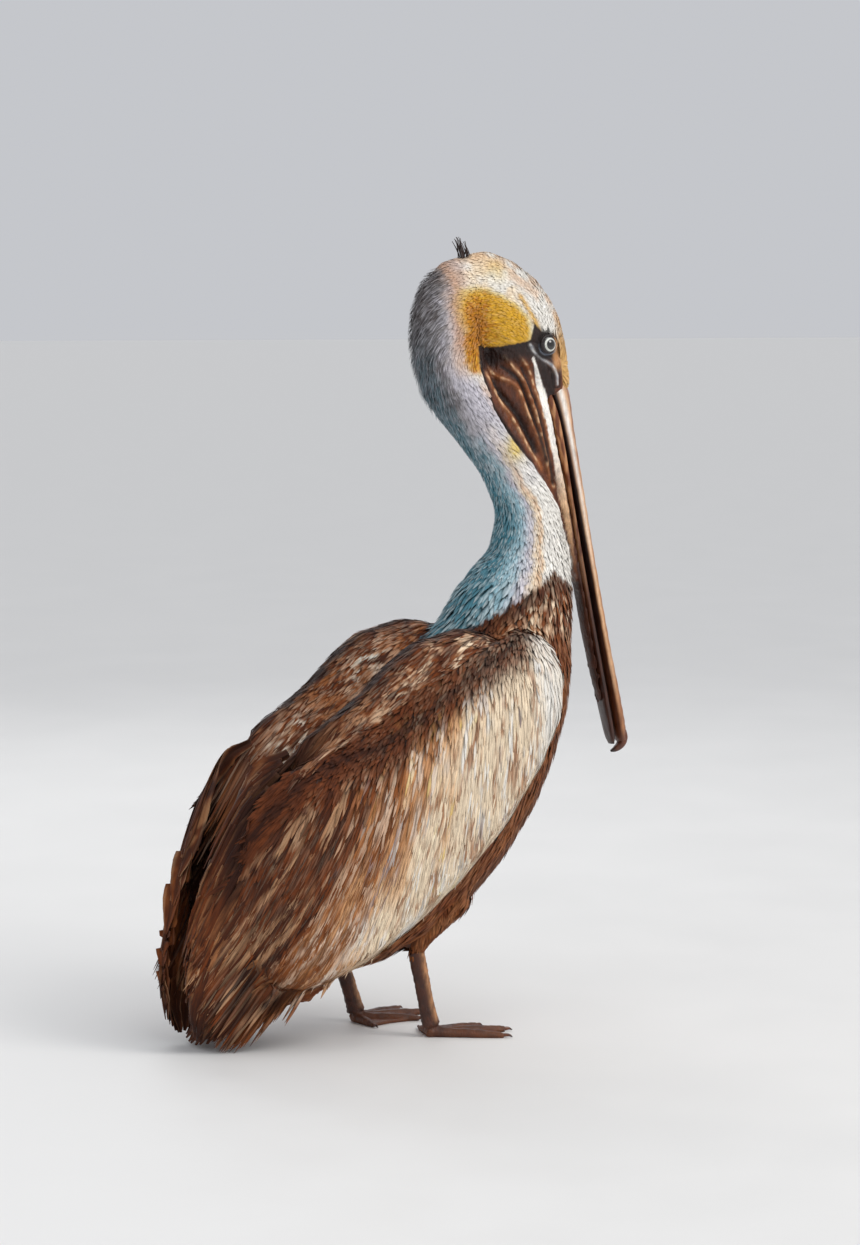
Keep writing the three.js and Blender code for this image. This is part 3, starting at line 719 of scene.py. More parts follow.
def coat(name, surface, roots, normals, flow, marks, unwrap, length, width, lift, home, slot,
         ragged, stations=4, camber=0.16, spill=steady(4), rough=0.25, dim=0.3, root=0.7):
    """A joined mesh of feathers over a surface, with its colours and its maps.

    Rough is the spread of lengths and ragged of tips in mm; dim darkens the vanes' edges with
    painted shade between the feathers, and root is their brightness in the painted shade where
    the feather in front covers them.
    """
    count = len(roots)
    lengths = length(roots) * rng.uniform(1 - rough, 1 + rough, count)
    widths = width(roots) * rng.uniform(0.85, 1.15, count)
    path, facing, lengths = traced(surface, roots, normals, flow, lengths, stations, home, spill)
    good = lengths > 0.35 * length(roots)
    path, facing, roots = path[good], facing[good], roots[good]
    lengths, widths, count = lengths[good], widths[good], int(good.sum())
    t = np.linspace(0, 1, stations)
    profile = 0.45 + 0.55 * np.sin(np.pi * np.clip(t * 0.9 + 0.1, 0, 1)) ** 0.7
    profile = profile * (1 - ramp(0.72, 1.02, t) * 0.8)
    points, faces, along, over = vanes(path, facing, widths, profile, lift(t), camber, ragged)
    base, accent, amount = marks(path.reshape(-1, 3))
    base = base.reshape(count, stations, 1, 3)
    accent = accent.reshape(count, stations, 1, 3)
    amount = amount.reshape(count, stations, 1)
    luck = rng.random((count, 1, 1))
    shade = rng.normal(1, 0.09, (count, 1, 1))
    shine = np.clip(luck * 2.0 - 0.75, 0, 1) * (0.25 + 0.75 * (1 - np.abs(over)) ** 0.8)
    shine = shine * ramp(0.0, 0.5, along)
    colour = mix(np.broadcast_to(base, points.shape), accent, np.clip(amount * shine, 0, 1))
    # painted shade on the edges of each vane, between the feathers
    edge = 1 - dim * np.abs(over) ** 2.2
    # painted shade near the root, where the feather in front covers the vane
    depth = root + (1 - root) * ramp(0.0, 0.45, along)
    colour = colour * (np.clip(shade, 0.5, 1.5) * edge * depth)[..., None]
    spot = unwrap(roots)
    bake = np.stack([
        spot[:, 0, None, None] + TUFT_PATCH * 0.5 * over,
        spot[:, 1, None, None] + TUFT_PATCH * (along - 0.5),
    ], axis=-1)
    offset = rng.uniform(0, 40, (count, 1, 1))
    vane = np.stack([
        over * (widths / 2)[:, None, None],
        along * lengths[:, None, None] + offset,
    ], axis=-1)
    new_piece(
        name, points.reshape(-1, 3), faces, colour.reshape(-1, 3), COAT,
        maps={"OFBake": bake.reshape(-1, 2), "Vane": vane.reshape(-1, 2)})


def body_unwrap(points):
    """Places round and along the body as a map of the skin's own shape."""
    share, front, _ = on_spine(points)
    around = np.arctan2(np.abs(points[:, 1]), (0.5 - front) * 60) / math.pi
    u = 0.5 + np.sign(points[:, 1] + 1e-6) * 0.47 * around
    ahead = np.hypot(points[:, 0] - 72, points[:, 2] - 632) * ramp(60, 100, points[:, 0])
    v = 0.03 + 0.72 * share + 0.22 * np.clip(ahead * ramp(540, 560, points[:, 2]) / 120, 0, 1)
    return np.stack([u, v], axis=1)


def wing_unwrap(points):
    """Places along and round a wing: its upper edge rolls over toward the back."""
    x, y, z = points.T
    along = (x + 190) * 0.72 + z * 0.68
    round_about = z * 0.72 - x * 0.68 + (97 - np.abs(y)) * 1.2
    return np.stack([0.04 + 0.92 * along / 460, 0.04 + 0.92 * (round_about + 60) / 500], axis=1)


# ---------------------------------------------------------------- materials


class Shading:
    """A material whose nodes are added one by one."""

    def __init__(self, name):
        self.material = bpy.data.materials.new(name)
        self.material.use_nodes = True
        self.tree = self.material.node_tree
        self.shader = self.tree.nodes["Principled BSDF"]

    def feed(self, node, inputs):
        """Values or links for a node's inputs, named with _ for a space, or _0 for the first."""
        for key, value in inputs.items():
            socket = node.inputs[int(key[1:]) if key[1:].isdigit() else key.replace("_", " ")]
            if isinstance(value, bpy.types.NodeSocket):
                self.tree.links.new(value, socket)
            else:
                socket.default_value = value

    def node(self, kind, settings=None, **inputs):
        made = self.tree.nodes.new(kind)
        for key, value in (settings or {}).items():
            setattr(made, key, value)
        self.feed(made, inputs)
        return made

    def place(self):
        return self.node("ShaderNodeNewGeometry").outputs["Position"]

    def maths(self, operation, a, b=0.0):
        return self.node("ShaderNodeMath", {"operation": operation}, _0=a, _1=b).outputs[0]

    def blend(self, first, first_share, second, second_share):
        return self.maths("ADD", self.maths("MULTIPLY", first, first_share),
                          self.maths("MULTIPLY", second, second_share))

    def noise(self, vector, scale, detail=3.0, rough=0.6):
        return self.node("ShaderNodeTexNoise", Vector=vector, Scale=scale, Detail=detail,
                         Roughness=rough).outputs["Fac"]

    def span(self, value, low, high):
        """A noise, which mostly stays between 0.3 and 0.7, spread from low to high."""
        return self.node("ShaderNodeMapRange", Value=value, From_Min=0.3, From_Max=0.7,
                         To_Min=low, To_Max=high).outputs["Result"]

    def bump(self, height, distance, **normal):
        return self.node("ShaderNodeBump", Height=height, Strength=1.0, Distance=distance,
                         **normal).outputs["Normal"]

    def painted(self, factor):
        """The mesh's own colour, made lighter and darker by a factor."""
        colour = self.node("ShaderNodeAttribute", {"attribute_name": "Coat"}).outputs["Color"]
        scaled = self.node("ShaderNodeVectorMath", {"operation": "SCALE"}, _0=colour, Scale=factor)
        self.feed(self.shader, {"Base_Color": scaled.outputs[0]})

    def finished(self, **inputs):
        """The material, once the last inputs of its shader are set."""
        self.feed(self.shader, inputs)
        return self.material


def feather_material(name, barb, contrast, depth):
    """Feather vanes: barbs slanting from the shaft, long fine streaks and a soft sheen."""
    look = Shading(name)
    vane = look.node("ShaderNodeUVMap", {"uv_map": "Vane"}).outputs["UV"]
    parts = look.node("ShaderNodeSeparateXYZ", Vector=vane).outputs
    aside = look.maths("ABSOLUTE", parts[0])
    slant = look.maths("SUBTRACT", parts[1], look.maths("MULTIPLY", aside, 1.3))
    across = look.maths("MULTIPLY", parts[0], 0.22)
    barbs = look.noise(look.node("ShaderNodeCombineXYZ", X=slant, Y=across).outputs[0], barb, 2.0)
    along = look.node("ShaderNodeCombineXYZ", X=parts[0], Y=look.maths("MULTIPLY", parts[1], 0.07))
    both = look.blend(barbs, 0.55, look.noise(along.outputs[0], 1.1), 0.45)
    look.painted(look.span(both, 1 - contrast, 1 + contrast))
    return look.finished(
        Roughness=look.span(barbs, 0.5, 0.85), Normal=look.bump(both, depth),
        Specular_IOR_Level=0.18, Sheen_Weight=0.05, Sheen_Roughness=0.5)


def skin_material():
    """Bare skin with creases, pores and mottling."""
    look = Shading("bare_skin")
    place = look.place()
    stretched = look.node("ShaderNodeMapping", Vector=place, Scale=(1.8, 1.8, 0.7),
                          Rotation=(0, math.radians(-20), 0))
    creases = look.noise(stretched.outputs[0], 420, 4.0, 0.62)
    pores = look.node("ShaderNodeTexVoronoi", Vector=place, Scale=900.0).outputs["Distance"]
    mottling = look.noise(place, 95, 4.0)
    look.painted(look.span(look.blend(creases, 0.6, mottling, 0.4), 0.62, 1.42))
    rough = look.span(creases, 0.36, 0.66)
    fine = look.bump(pores, 0.00012)
    return look.finished(
        Roughness=rough, Normal=look.bump(creases, 0.0007, Normal=fine),
        Subsurface_Weight=0.06, Subsurface_Radius=(0.004, 0.002, 0.001))


def horn_material(name, rough, gloss):
    """Horn with long fibres, small flakes and glossy patches rubbed smooth."""
    look = Shading(name)
    place = look.place()
    fibres = look.node("ShaderNodeMapping", Vector=place, Rotation=(0, math.radians(-13), 0),
                       Scale=(1, 1, 0.07))
    grain = look.noise(fibres.outputs[0], 900)
    flakes = look.noise(place, 160, 5.0, 0.68)
    both = look.blend(grain, 0.5, flakes, 0.5)
    look.painted(look.span(both, 0.66, 1.34))
    return look.finished(
        Roughness=look.span(flakes, rough - 0.12, rough + 0.16), Normal=look.bump(both, 0.00035),
        Coat_Weight=gloss, Coat_Roughness=0.3)


def eye_material():
    """A wet eye with faint flecks under a clear coat."""
    look = Shading("wet_eye")
    flecks = look.noise(look.place(), 1500, 2.0)
    look.painted(look.span(flecks, 0.85, 1.15))
    return look.finished(
        Roughness=look.span(flecks, 0.08, 0.16), Coat_Weight=1.0, Coat_Roughness=0.02)


def floor_material():
    """A plain pale floor with a faint cloudiness."""
    look = Shading("studio_floor")
    cloud = look.noise(look.place(), 6)
    tone = look.node("ShaderNodeMix", {"data_type": "RGBA"}, Factor=cloud)
    tone.inputs["A"].default_value = (0.74, 0.735, 0.72, 1)
    tone.inputs["B"].default_value = (0.79, 0.785, 0.77, 1)
    return look.finished(Base_Color=tone.outputs["Result"], Roughness=look.span(cloud, 0.55, 0.75))


COAT = feather_material("body_feathers", 1.6, 0.3, 0.0003)
FLIGHT = feather_material("flight_feathers", 1.1, 0.34, 0.0005)
SKIN = skin_material()
BILL = horn_material("bill_horn", 0.42, 0.25)
CLAW = horn_material("claw_horn", 0.35, 0.4)


# ---------------------------------------------------------------- skin

FLESH = ["trunk", "neck_base", "neck_lower", "neck_middle", "neck_upper", "head", "pouch"]
FLESH += [f"{part}_{side}" for part in ("thigh", "tarsus", "foot") for side in SIDES]
FLESH += [f"wing_{side}_{part}" for part in ("coverts", "scapulars") for side in SIDES]
EYES = [f"eye_{side}" for side in SIDES]
LEGS = ("tarsus", "foot")
BODY_VOXEL = 2.8
LEG_VOXEL = 1.15


def node_tree(names):
    """A search tree over CAD nodes, and the node of each of its faces."""
    points, faces, owner = [], [], []
    for number, name in enumerate(names):
        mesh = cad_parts[name].data
        start = len(points)
        points += [to_layout(np.array(vertex.co)).tolist() for vertex in mesh.vertices]
        for polygon in mesh.polygons:
            faces.append([start + index for index in polygon.vertices])
            owner.append(number)
    return BVHTree.FromPolygons(points, faces), np.array(owner)


body_nodes = [name for name in FLESH if not name.startswith(LEGS)]
tree, owner = node_tree(body_nodes)
skin_points, skin_faces = fused(body_nodes + EYES, BODY_VOXEL, 0.7, 6)
centres = skin_points[skin_faces].mean(1)
labels = owner[[tree.find_nearest(place)[2] for place in centres.tolist()]]
NUMBER = {name: number for number, name in enumerate(body_nodes)}
WING_PANELS = {side: NUMBER[f"wing_{side}_coverts"] for side in SIDES}
BACK_PANELS = {side: NUMBER[f"wing_{side}_scapulars"] for side in SIDES}
TORSO = [NUMBER["trunk"]]
THIGHS = [NUMBER["thigh_left"], NUMBER["thigh_right"]]
NECK = [NUMBER[name] for name in ("neck_base", "neck_lower", "neck_middle", "neck_upper")]
FACE = [NUMBER["head"], NUMBER["pouch"]]


def coat_depth():
    """How deep under the outer surface the skin lies, at each point of the skin."""
    depth = np.full(len(body_nodes), 4.0)
    depth[list(WING_PANELS.values()) + list(BACK_PANELS.values())] = 3.2
    depth[NECK] = 2.6
    depth[NUMBER["head"]] = 1.8
    depth[NUMBER["pouch"]] = 0.9
    depth[THIGHS] = 2.0
    count = np.bincount(skin_faces.ravel(), minlength=len(skin_points))
    total = np.bincount(skin_faces.ravel(), np.repeat(depth[labels], 4), len(skin_points))
    values = total / np.maximum(count, 1)
    bare = ramp(-2, 3, within(skin_points[:, [0, 2]], BARE)) * ramp(225, 240, skin_points[:, 2])
    values = values * (1 - bare) + 0.9 * bare
    edges = edges_of(skin_faces)
    values = np.repeat(values[:, None], 3, axis=1)
    for _ in range(4):
        values = 0.5 * values + 0.5 * spread(values, edges)
    return values


skin_points = skin_points - vertex_normals(skin_points, skin_faces) * coat_depth()
surface = Surface(skin_points, skin_faces, labels)


def folded(points, normals):
    """Skin points of the face raised into folds, creases, brow and lids."""
    flat = points[:, [0, 2]]
    rise = np.zeros(len(points))
    bare = ramp(-1, 2.5, within(flat, BARE))
    for sign, folds in ((1, RIDGES), (-1, HOLLOWS)):
        for line, height, half in folds:
            gap, share = along_line(flat, curve(line))
            fade = np.sin(np.pi * np.clip(0.08 + 0.86 * share, 0, 1)) ** 0.5
            rise += sign * height * fade * bell(gap, half)
    gap, _ = along_line(flat, curve(PALE_STRIPE))
    rise += 1.1 * bell(gap, 2.8)
    gap, share = along_line(flat, curve(LID_FOLD))
    rise += 1.3 * bell(gap, 1.6) - 0.8 * bell(gap - 3.4, 1.3)
    wrinkles = wobble(points * [1.6, 1.6, 0.55], 2.6, 11)
    rise += 1.0 * wrinkles * ramp(300, 470, points[:, 2]) + 0.35 * wrinkles
    off_eye = np.hypot(flat[:, 0] - EYE[0], flat[:, 1] - EYE[2])
    rise *= bare * ramp(8, 12, off_eye)
    moved = points + normals * rise[:, None]
    for turn in TURNS:
        centre = EYE * [1, turn, 1]
        axis = unit(np.array([0.16, turn * 1.0, 0.05]))
        arm = moved - centre
        reach = np.linalg.norm(arm, axis=1)
        angle = np.degrees(np.arccos(np.clip(arm @ axis / np.maximum(reach, 1e-6), -1, 1)))
        ring = 8.2 + 1.75 * ramp(40, 46, angle) + 0.7 * bell(angle - 52, 5)
        ring -= 0.45 * bell(angle - 63, 4.5)
        ring += 0.9 * bell(angle - 76, 9) * ramp(-2, 6, arm[:, 2])
        weight = ramp(98, 68, angle) * ramp(22, 15, reach)
        onto = centre + unit(arm) * ring[:, None]
        moved = moved + (onto - moved) * weight[:, None]
    return moved


def bare_colour(points):
    """Colours of the bare skin of face and throat, with painted highlights on the crests of its folds
    and painted shade in the hollows between them.
    """
    x, _, z = points.T
    flat = points[:, [0, 2]]
    low = ramp(470, 380, z)
    colour = mix(DARK_BROWN, BROWN, np.clip(1.3 * (noise(points * [1, 1, 0.4], 4, 21) - 0.3), 0, 1))
    colour = mix(colour, BLACK_BROWN, 0.55 * low)
    for index, (line, _, half) in enumerate(RIDGES):
        gap, _ = along_line(flat, curve(line))
        # painted highlight in uneven patches along the crest of each fold
        uneven = ramp(0.25, 0.7, noise(points, 4, 30 + index)) * (1 - 0.8 * low)
        colour = mix(colour, WARM_BROWN, 0.75 * bell(gap, half) * (1 - 0.7 * low))
        crest = mix(TAN, PEACH, uneven)
        colour = mix(colour, crest, 0.95 * uneven * bell(gap, half * 0.4))
    # painted shade in the hollows between the folds
    for line, _, half in HOLLOWS:
        gap, _ = along_line(flat, curve(line))
        colour = mix(colour, BLACK_BROWN * 0.5, 0.92 * bell(gap, half))
    brow = ramp(548, 560, z - 0.25 * (x - 90)) * ramp(131, 125, x)
    colour = mix(colour, BLACK_BROWN * 0.7, 0.92 * brow)
    # painted shade in the hollow inside the fold under the eye
    hollow = within(flat, LID_HOLLOW_SHADE)
    colour = mix(colour, BLACK_BROWN * 0.5, 0.9 * ramp(-1.5, 1.5, hollow))
    # painted shade in the valley along the rear edge of the bare skin, above the throat
    edge = within(flat, BARE) + 1.2 * wobble(points, 3, 27)
    colour = mix(colour, BLACK_BROWN * 0.7, 0.9 * ramp(4.2, 2.0, edge) * ramp(478, 495, z) * (x < 118))
    gap, share = along_line(flat, curve(PALE_STRIPE))
    stripe = mix(WHITE, PEACH, ramp(0.35, 0.7, share))
    stripe = mix(stripe, BROWN, ramp(0.65, 1.0, share))
    half = 1.2 + 3.0 * ramp(0.02, 0.22, share) * ramp(0.95, 0.4, share)
    colour = mix(colour, stripe, 0.97 * ramp(1.25, 0.75, gap / half + 0.3 * wobble(points, 2, 23)))
    gap, share = along_line(flat, curve(LID_FOLD))
    fold = mix(SLATE, WHITE, 0.2 + 0.6 * noise(points, 3, 24))
    # the pale fold under the eye, and painted shade in the dip beside it
    colour = layered(
        colour,
        (fold, 0.9 * bell(gap, 1.1)),
        (BLACK_BROWN * 0.6, 0.8 * bell(gap - 3.2, 1.3) * (z > 535)))
    off_eye = np.hypot(x - EYE[0], z - EYE[2])
    colour = layered(
        colour,
        (BLACK_BROWN * 0.5, ramp(14, 11, off_eye)),
        (SLATE, 0.6 * bell(off_eye - 8.3, 0.6) * ramp(574, 566, z)))
    lit = ramp(134, 139, x) * ramp(546, 556, z)
    return mix(colour, mix(AMBER, PEACH, noise(points, 4, 25)), 0.7 * lit)


def skin_colour(points):
    x, y, z = points.T
    base, _, _ = body_marks(points)
    # painted shade on the skin under the coat, darker lower down
    under = base * (0.45 + 0.4 * ramp(380, 560, z))[:, None]
    bare = ramp(-1.0, 0.8, within(points[:, [0, 2]], BARE) + 1.2 * wobble(points, 2.2, 26))
    colour = mix(under, bare_colour(points), bare)
    wing = np.abs(y) > np.interp(x, [-190, -60, 60, 130], [26, 66, 66, 60])
    # painted shade on the skin under the wing coverts
    dark, _, _ = covert_marks(points)
    colour = mix(colour, dark * 0.4, (wing & (z < 360)).astype(float))
    return colour


def leg_colour(points):
    x, y, z = points.T
    colour = mix(BLACK_BROWN, DARK_BROWN, np.clip(0.3 + noise(points, 5, 41), 0, 1))
    middle = np.where(y > 0, -31.0, 0.0) + (72.6 - z) * 0.216
    # painted highlight in uneven patches down the front of each leg
    uneven = 0.45 + 0.55 * ramp(0.2, 0.8, noise(points * [1, 1, 0.5], 2.2, 43))
    colour = layered(
        colour,
        (TAN, 0.85 * uneven * ramp(-1.5, 3.5, x - middle) * ramp(10, 18, z)),
        (WARM_BROWN, 0.45 * ramp(12, 3, z) * noise(points, 8, 42)))
    return colour


def add_faces(made, points, faces):
    """Layout points and quads added to an open mesh."""
    corners = [made.verts.new(to_frame(point).tolist()) for point in points]
    for ring in faces:
        made.faces.new([corners[index] for index in ring])


def refine_face(made):
    """Finer faces over the bare skin, in two rounds, the second only near the head."""
    for lowest, foremost in ((228, 60), (462, 66)):
        made.faces.ensure_lookup_table()
        middles = np.array([to_layout(np.array(face.calc_center_median())) for face in made.faces])
        gap = within(middles[:, [0, 2]], BARE)
        eye = np.hypot(middles[:, 0] - EYE[0], middles[:, 2] - EYE[2]) < 16
        chosen = ((gap > -3) | eye) & (middles[:, 2] > lowest) & (middles[:, 0] > foremost)
        edges = {edge for index in np.flatnonzero(chosen) for edge in made.faces[index].edges}
        bmesh.ops.subdivide_edges(made, edges=list(edges), cuts=1, use_grid_fill=True)


def move_to(mesh, points):
    mesh.vertices.foreach_set("co", to_frame(points).ravel())
    mesh.update()


def build_skin():
    """One mesh: body, face, throat and legs, with finer faces where the skin is bare."""
    made = bmesh.new()
    add_faces(made, surface.points, surface.faces)
    refine_face(made)
    for side in SIDES:
        points, faces = fused([f"{part}_{side}" for part in LEGS], LEG_VOXEL, 0.35, 3)
        points[:, 2] = np.maximum(points[:, 2], SOLE_GAP)
        add_faces(made, points, faces)
    mesh = bpy.data.meshes.new("skin")
    made.normal_update()
    made.to_mesh(mesh)
    made.free()
    points = to_layout(rows_of(mesh.vertices))
    edges = np.zeros(len(mesh.edges) * 2, dtype=np.int32)
    mesh.edges.foreach_get("vertices", edges)
    upper = points[:, 2] > THROAT_BOTTOM
    points = np.where(upper[:, None], relaxed(points, edges.reshape(-1, 2), 4), points)
    move_to(mesh, points)
    normals = rows_of(mesh.vertices, "normal")
    upper = points[:, 2] > THROAT_BOTTOM
    points[upper] = folded(points[upper], normals[upper])
    leg = (points[:, 2] < 74) & (np.abs(points[:, 1]) < 78) & (points[:, 0] > -60)
    scales = wobble(points * [1, 1, 1.7], 3.2, 51)
    points = points + normals * (0.7 * scales * leg)[:, None] * ramp(1, 4, points[:, 2])[:, None]
    move_to(mesh, points)
    mesh.shade_smooth()
    colour_mesh(mesh, np.where(leg[:, None], leg_colour(points), skin_colour(points)))
    mesh.materials.append(SKIN)
    piece = placed("skin", mesh)
    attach(piece, "root")
    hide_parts(*FLESH)


build_skin()


# ---------------------------------------------------------------- coat


def open_to_view(spots, normals, reach=16.0):
    """Whether nothing else of the bird lies just outside each place."""
    seen = []
    for spot, normal in zip(spots, normals):
        hit = surface.tree.ray_cast((spot + normal * 1.5).tolist(), normal.tolist(), reach)
        seen.append(hit[0] is None)
    return np.array(seen)


def covered(name, wanted, spacing, keep, facing=-2.0, **settings):
    """A coat piece over the parts of the skin with the wanted labels."""
    roots, normals = scattered(surface, wanted, spacing, keep)
    seen = open_to_view(roots, normals)
    seen &= normals[:, 1] * np.sign(roots[:, 1]) > facing
    order = rng.permutation(int(seen.sum()))
    settings.setdefault("home", FACE + NECK + TORSO + THIGHS)
    coat(name, surface, roots[seen][order], normals[seen][order], **settings)


def feathered(points):
    """Where the face is not bare."""
    edge = within(points[:, [0, 2]], BARE) + 1.6 * wobble(points, 3, 61)
    near_eye = np.hypot(points[:, 0] - EYE[0], points[:, 2] - EYE[2]) < 10.5
    return (edge < -0.5) & ~near_eye


def nape(points):
    """How far a place belongs to the loose feathers of the nape."""
    _, front, _ = on_spine(points)
    return ramp(0.5, 0.15, front) * ramp(500, 560, points[:, 2]) * ramp(50, 38, points[:, 0])


def nape_marks(points):
    """Loose nape feathers: grey with dark ends."""
    base, accent, amount = body_marks(points)
    luck = noise(points, 2.0, 63)
    return mix(base, DARK_GREY, 0.6 * ramp(0.4, 0.65, luck)), accent, amount


ALONG_BODY = {"flow": body_flow, "unwrap": body_unwrap}
covered(
    "head_feathers", FACE + NECK, 1.75,
    lambda p: feathered(p) & (p[:, 2] > HEAD_BOTTOM),
    **ALONG_BODY, marks=body_marks,
    length=lambda p: 7.5 + 7 * nape(p), width=lambda p: 2.1 + 0.4 * nape(p),
    lift=rising(-0.4, 1.9), ragged=0.4, dim=0.12, root=0.88, slot="head_plumage")
covered(
    "neck_feathers", FACE + NECK + TORSO, 2.3,
    lambda p: feathered(p) & (p[:, 2] <= HEAD_BOTTOM) & (p[:, 2] > BREAST_TOP - 2),
    **ALONG_BODY, marks=body_marks, length=lambda p: 10 + 9 * nape(p), width=steady(2.4),
    lift=rising(-0.4, 2.6), ragged=0.5, dim=0.15, root=0.85, slot="neck_plumage")
covered(
    "nape_feathers", FACE + NECK, 2.5,
    lambda p: (nape(p) > 0.15 + 0.5 * noise(p, 5, 62)) & (p[:, 2] > 515),
    **ALONG_BODY, marks=nape_marks, length=steady(14), width=steady(1.1), stations=6,
    lift=rising(0.6, 4.6, 1.7), ragged=1.2, rough=0.45, dim=0.1, root=0.8, slot="neck_plumage")
covered(
    "body_feathers", NECK + TORSO, 4.2,
    lambda p: (p[:, 2] <= BREAST_TOP) & feathered(p),
    **ALONG_BODY, marks=body_marks,
    length=lambda p: 15 + 9 * ramp(360, 300, p[:, 2]), width=steady(4.0),
    lift=rising(-0.6, 4.2), ragged=1.6, slot="body_plumage")
covered(
    "thigh_feathers", THIGHS, 2.4, lambda p: p[:, 2] > 0,
    flow=lambda p: np.broadcast_to([-0.15, 0.0, -1.0], p.shape), marks=body_marks,
    unwrap=body_unwrap, length=lambda p: 9 + 7 * ramp(105, 85, p[:, 2]), width=steady(2.3),
    spill=lambda p: 3 + 6 * ramp(105, 85, p[:, 2]),
    lift=rising(-0.4, 2.2), ragged=0.8, slot="body_plumage")


def covert_length(points):
    """Short feathers along the border, long ones below it."""
    border = np.interp(points[:, 0], WING_BORDER[:, 0], WING_BORDER[:, 1])
    return 13 + 42 * ramp(8, 50, border - points[:, 2]) + 22 * ramp(-90, -150, points[:, 0])


def covert_spill(points):
    """Only the low feathers at the back hang over the flight feathers."""
    x, _, z = points.T
    return 3 + 62 * ramp(-75, -130, x) * ramp(175, 125, z) + 5 * ramp(-40, -80, x)


WING_COAT = {"unwrap": wing_unwrap, "stations": 7, "lift": rising(-0.6, 3.6), "rough": 0.3,
             "slot": "covert_plumage"}
for side in SIDES:
    covered(
        f"covert_feathers_{side}", [WING_PANELS[side]], 3.0,
        lambda p: p[:, 2] > 20,
        flow=covert_flow, marks=covert_marks, length=covert_length,
        width=lambda p: 2.9 + 0.9 * ramp(15, 50, covert_length(p)),
        facing=0.3, home=[WING_PANELS[side]], spill=covert_spill, ragged=1.6, **WING_COAT)
    covered(
        f"scapular_feathers_{side}", [BACK_PANELS[side]], 3.2,
        lambda p: p[:, 2] > 20,
        flow=scapular_flow, marks=scapular_marks,
        length=lambda p: 22 + 58 * ramp(-45, -105, p[:, 0]), width=steady(3.4),
        home=[WING_PANELS[side], BACK_PANELS[side]],
        spill=lambda p: 6 + 70 * ramp(-45, -100, p[:, 0]), ragged=2.0, **WING_COAT)


# ---------------------------------------------------------------- flight feathers and tail

# Middle lines of some flight feathers of the left wing, each from root to tip.
SECONDARY_PATHS = np.array([
    [[-113, 41, 243], [-136, 40, 230], [-158, 33, 196], [-184, 23, 138]],
    [[-130, 52, 226], [-156, 45, 196], [-183, 31, 134], [-198, 22, 81]],
    [[-148, 58, 189], [-173, 45, 136], [-193, 34, 83], [-198, 27, 45]],
    [[-144, 64, 159], [-176, 47, 100], [-192, 36, 51], [-192, 26, 16]],
    [[-135, 68, 126], [-169, 47, 77], [-185, 35, 34], [-185, 23, 8]],
    [[-110, 71, 81], [-146, 49, 58], [-159, 34, 34], [-176, 21, 12]],
    [[-102, 62, 58], [-130, 48, 46], [-140, 32, 35], [-153, 20, 22]],
    [[-90, 58, 54], [-113, 50, 44], [-127, 35, 34], [-131, 22, 30]],
], float)
PRIMARY_PATHS = np.array([
    [[-126, 40, 50], [-133, 30, 45], [-138, 22, 39], [-141, 14, 33]],
    [[-133, 39, 51], [-146, 29, 43], [-157, 19, 33], [-165, 10, 25]],
], float)
# Half width of a broad flight feather, and the step on the Vane map from one to the next.
BROAD = 9.5
VANE_STEP = 37.0


def between(paths, count):
    """Paths blended evenly between the rows of a table of paths."""
    places = np.linspace(0, len(paths) - 1, count)
    start = np.minimum(places.astype(int), len(paths) - 2)
    share = (places - start)[:, None, None]
    return paths[start] * (1 - share) + paths[start + 1] * share


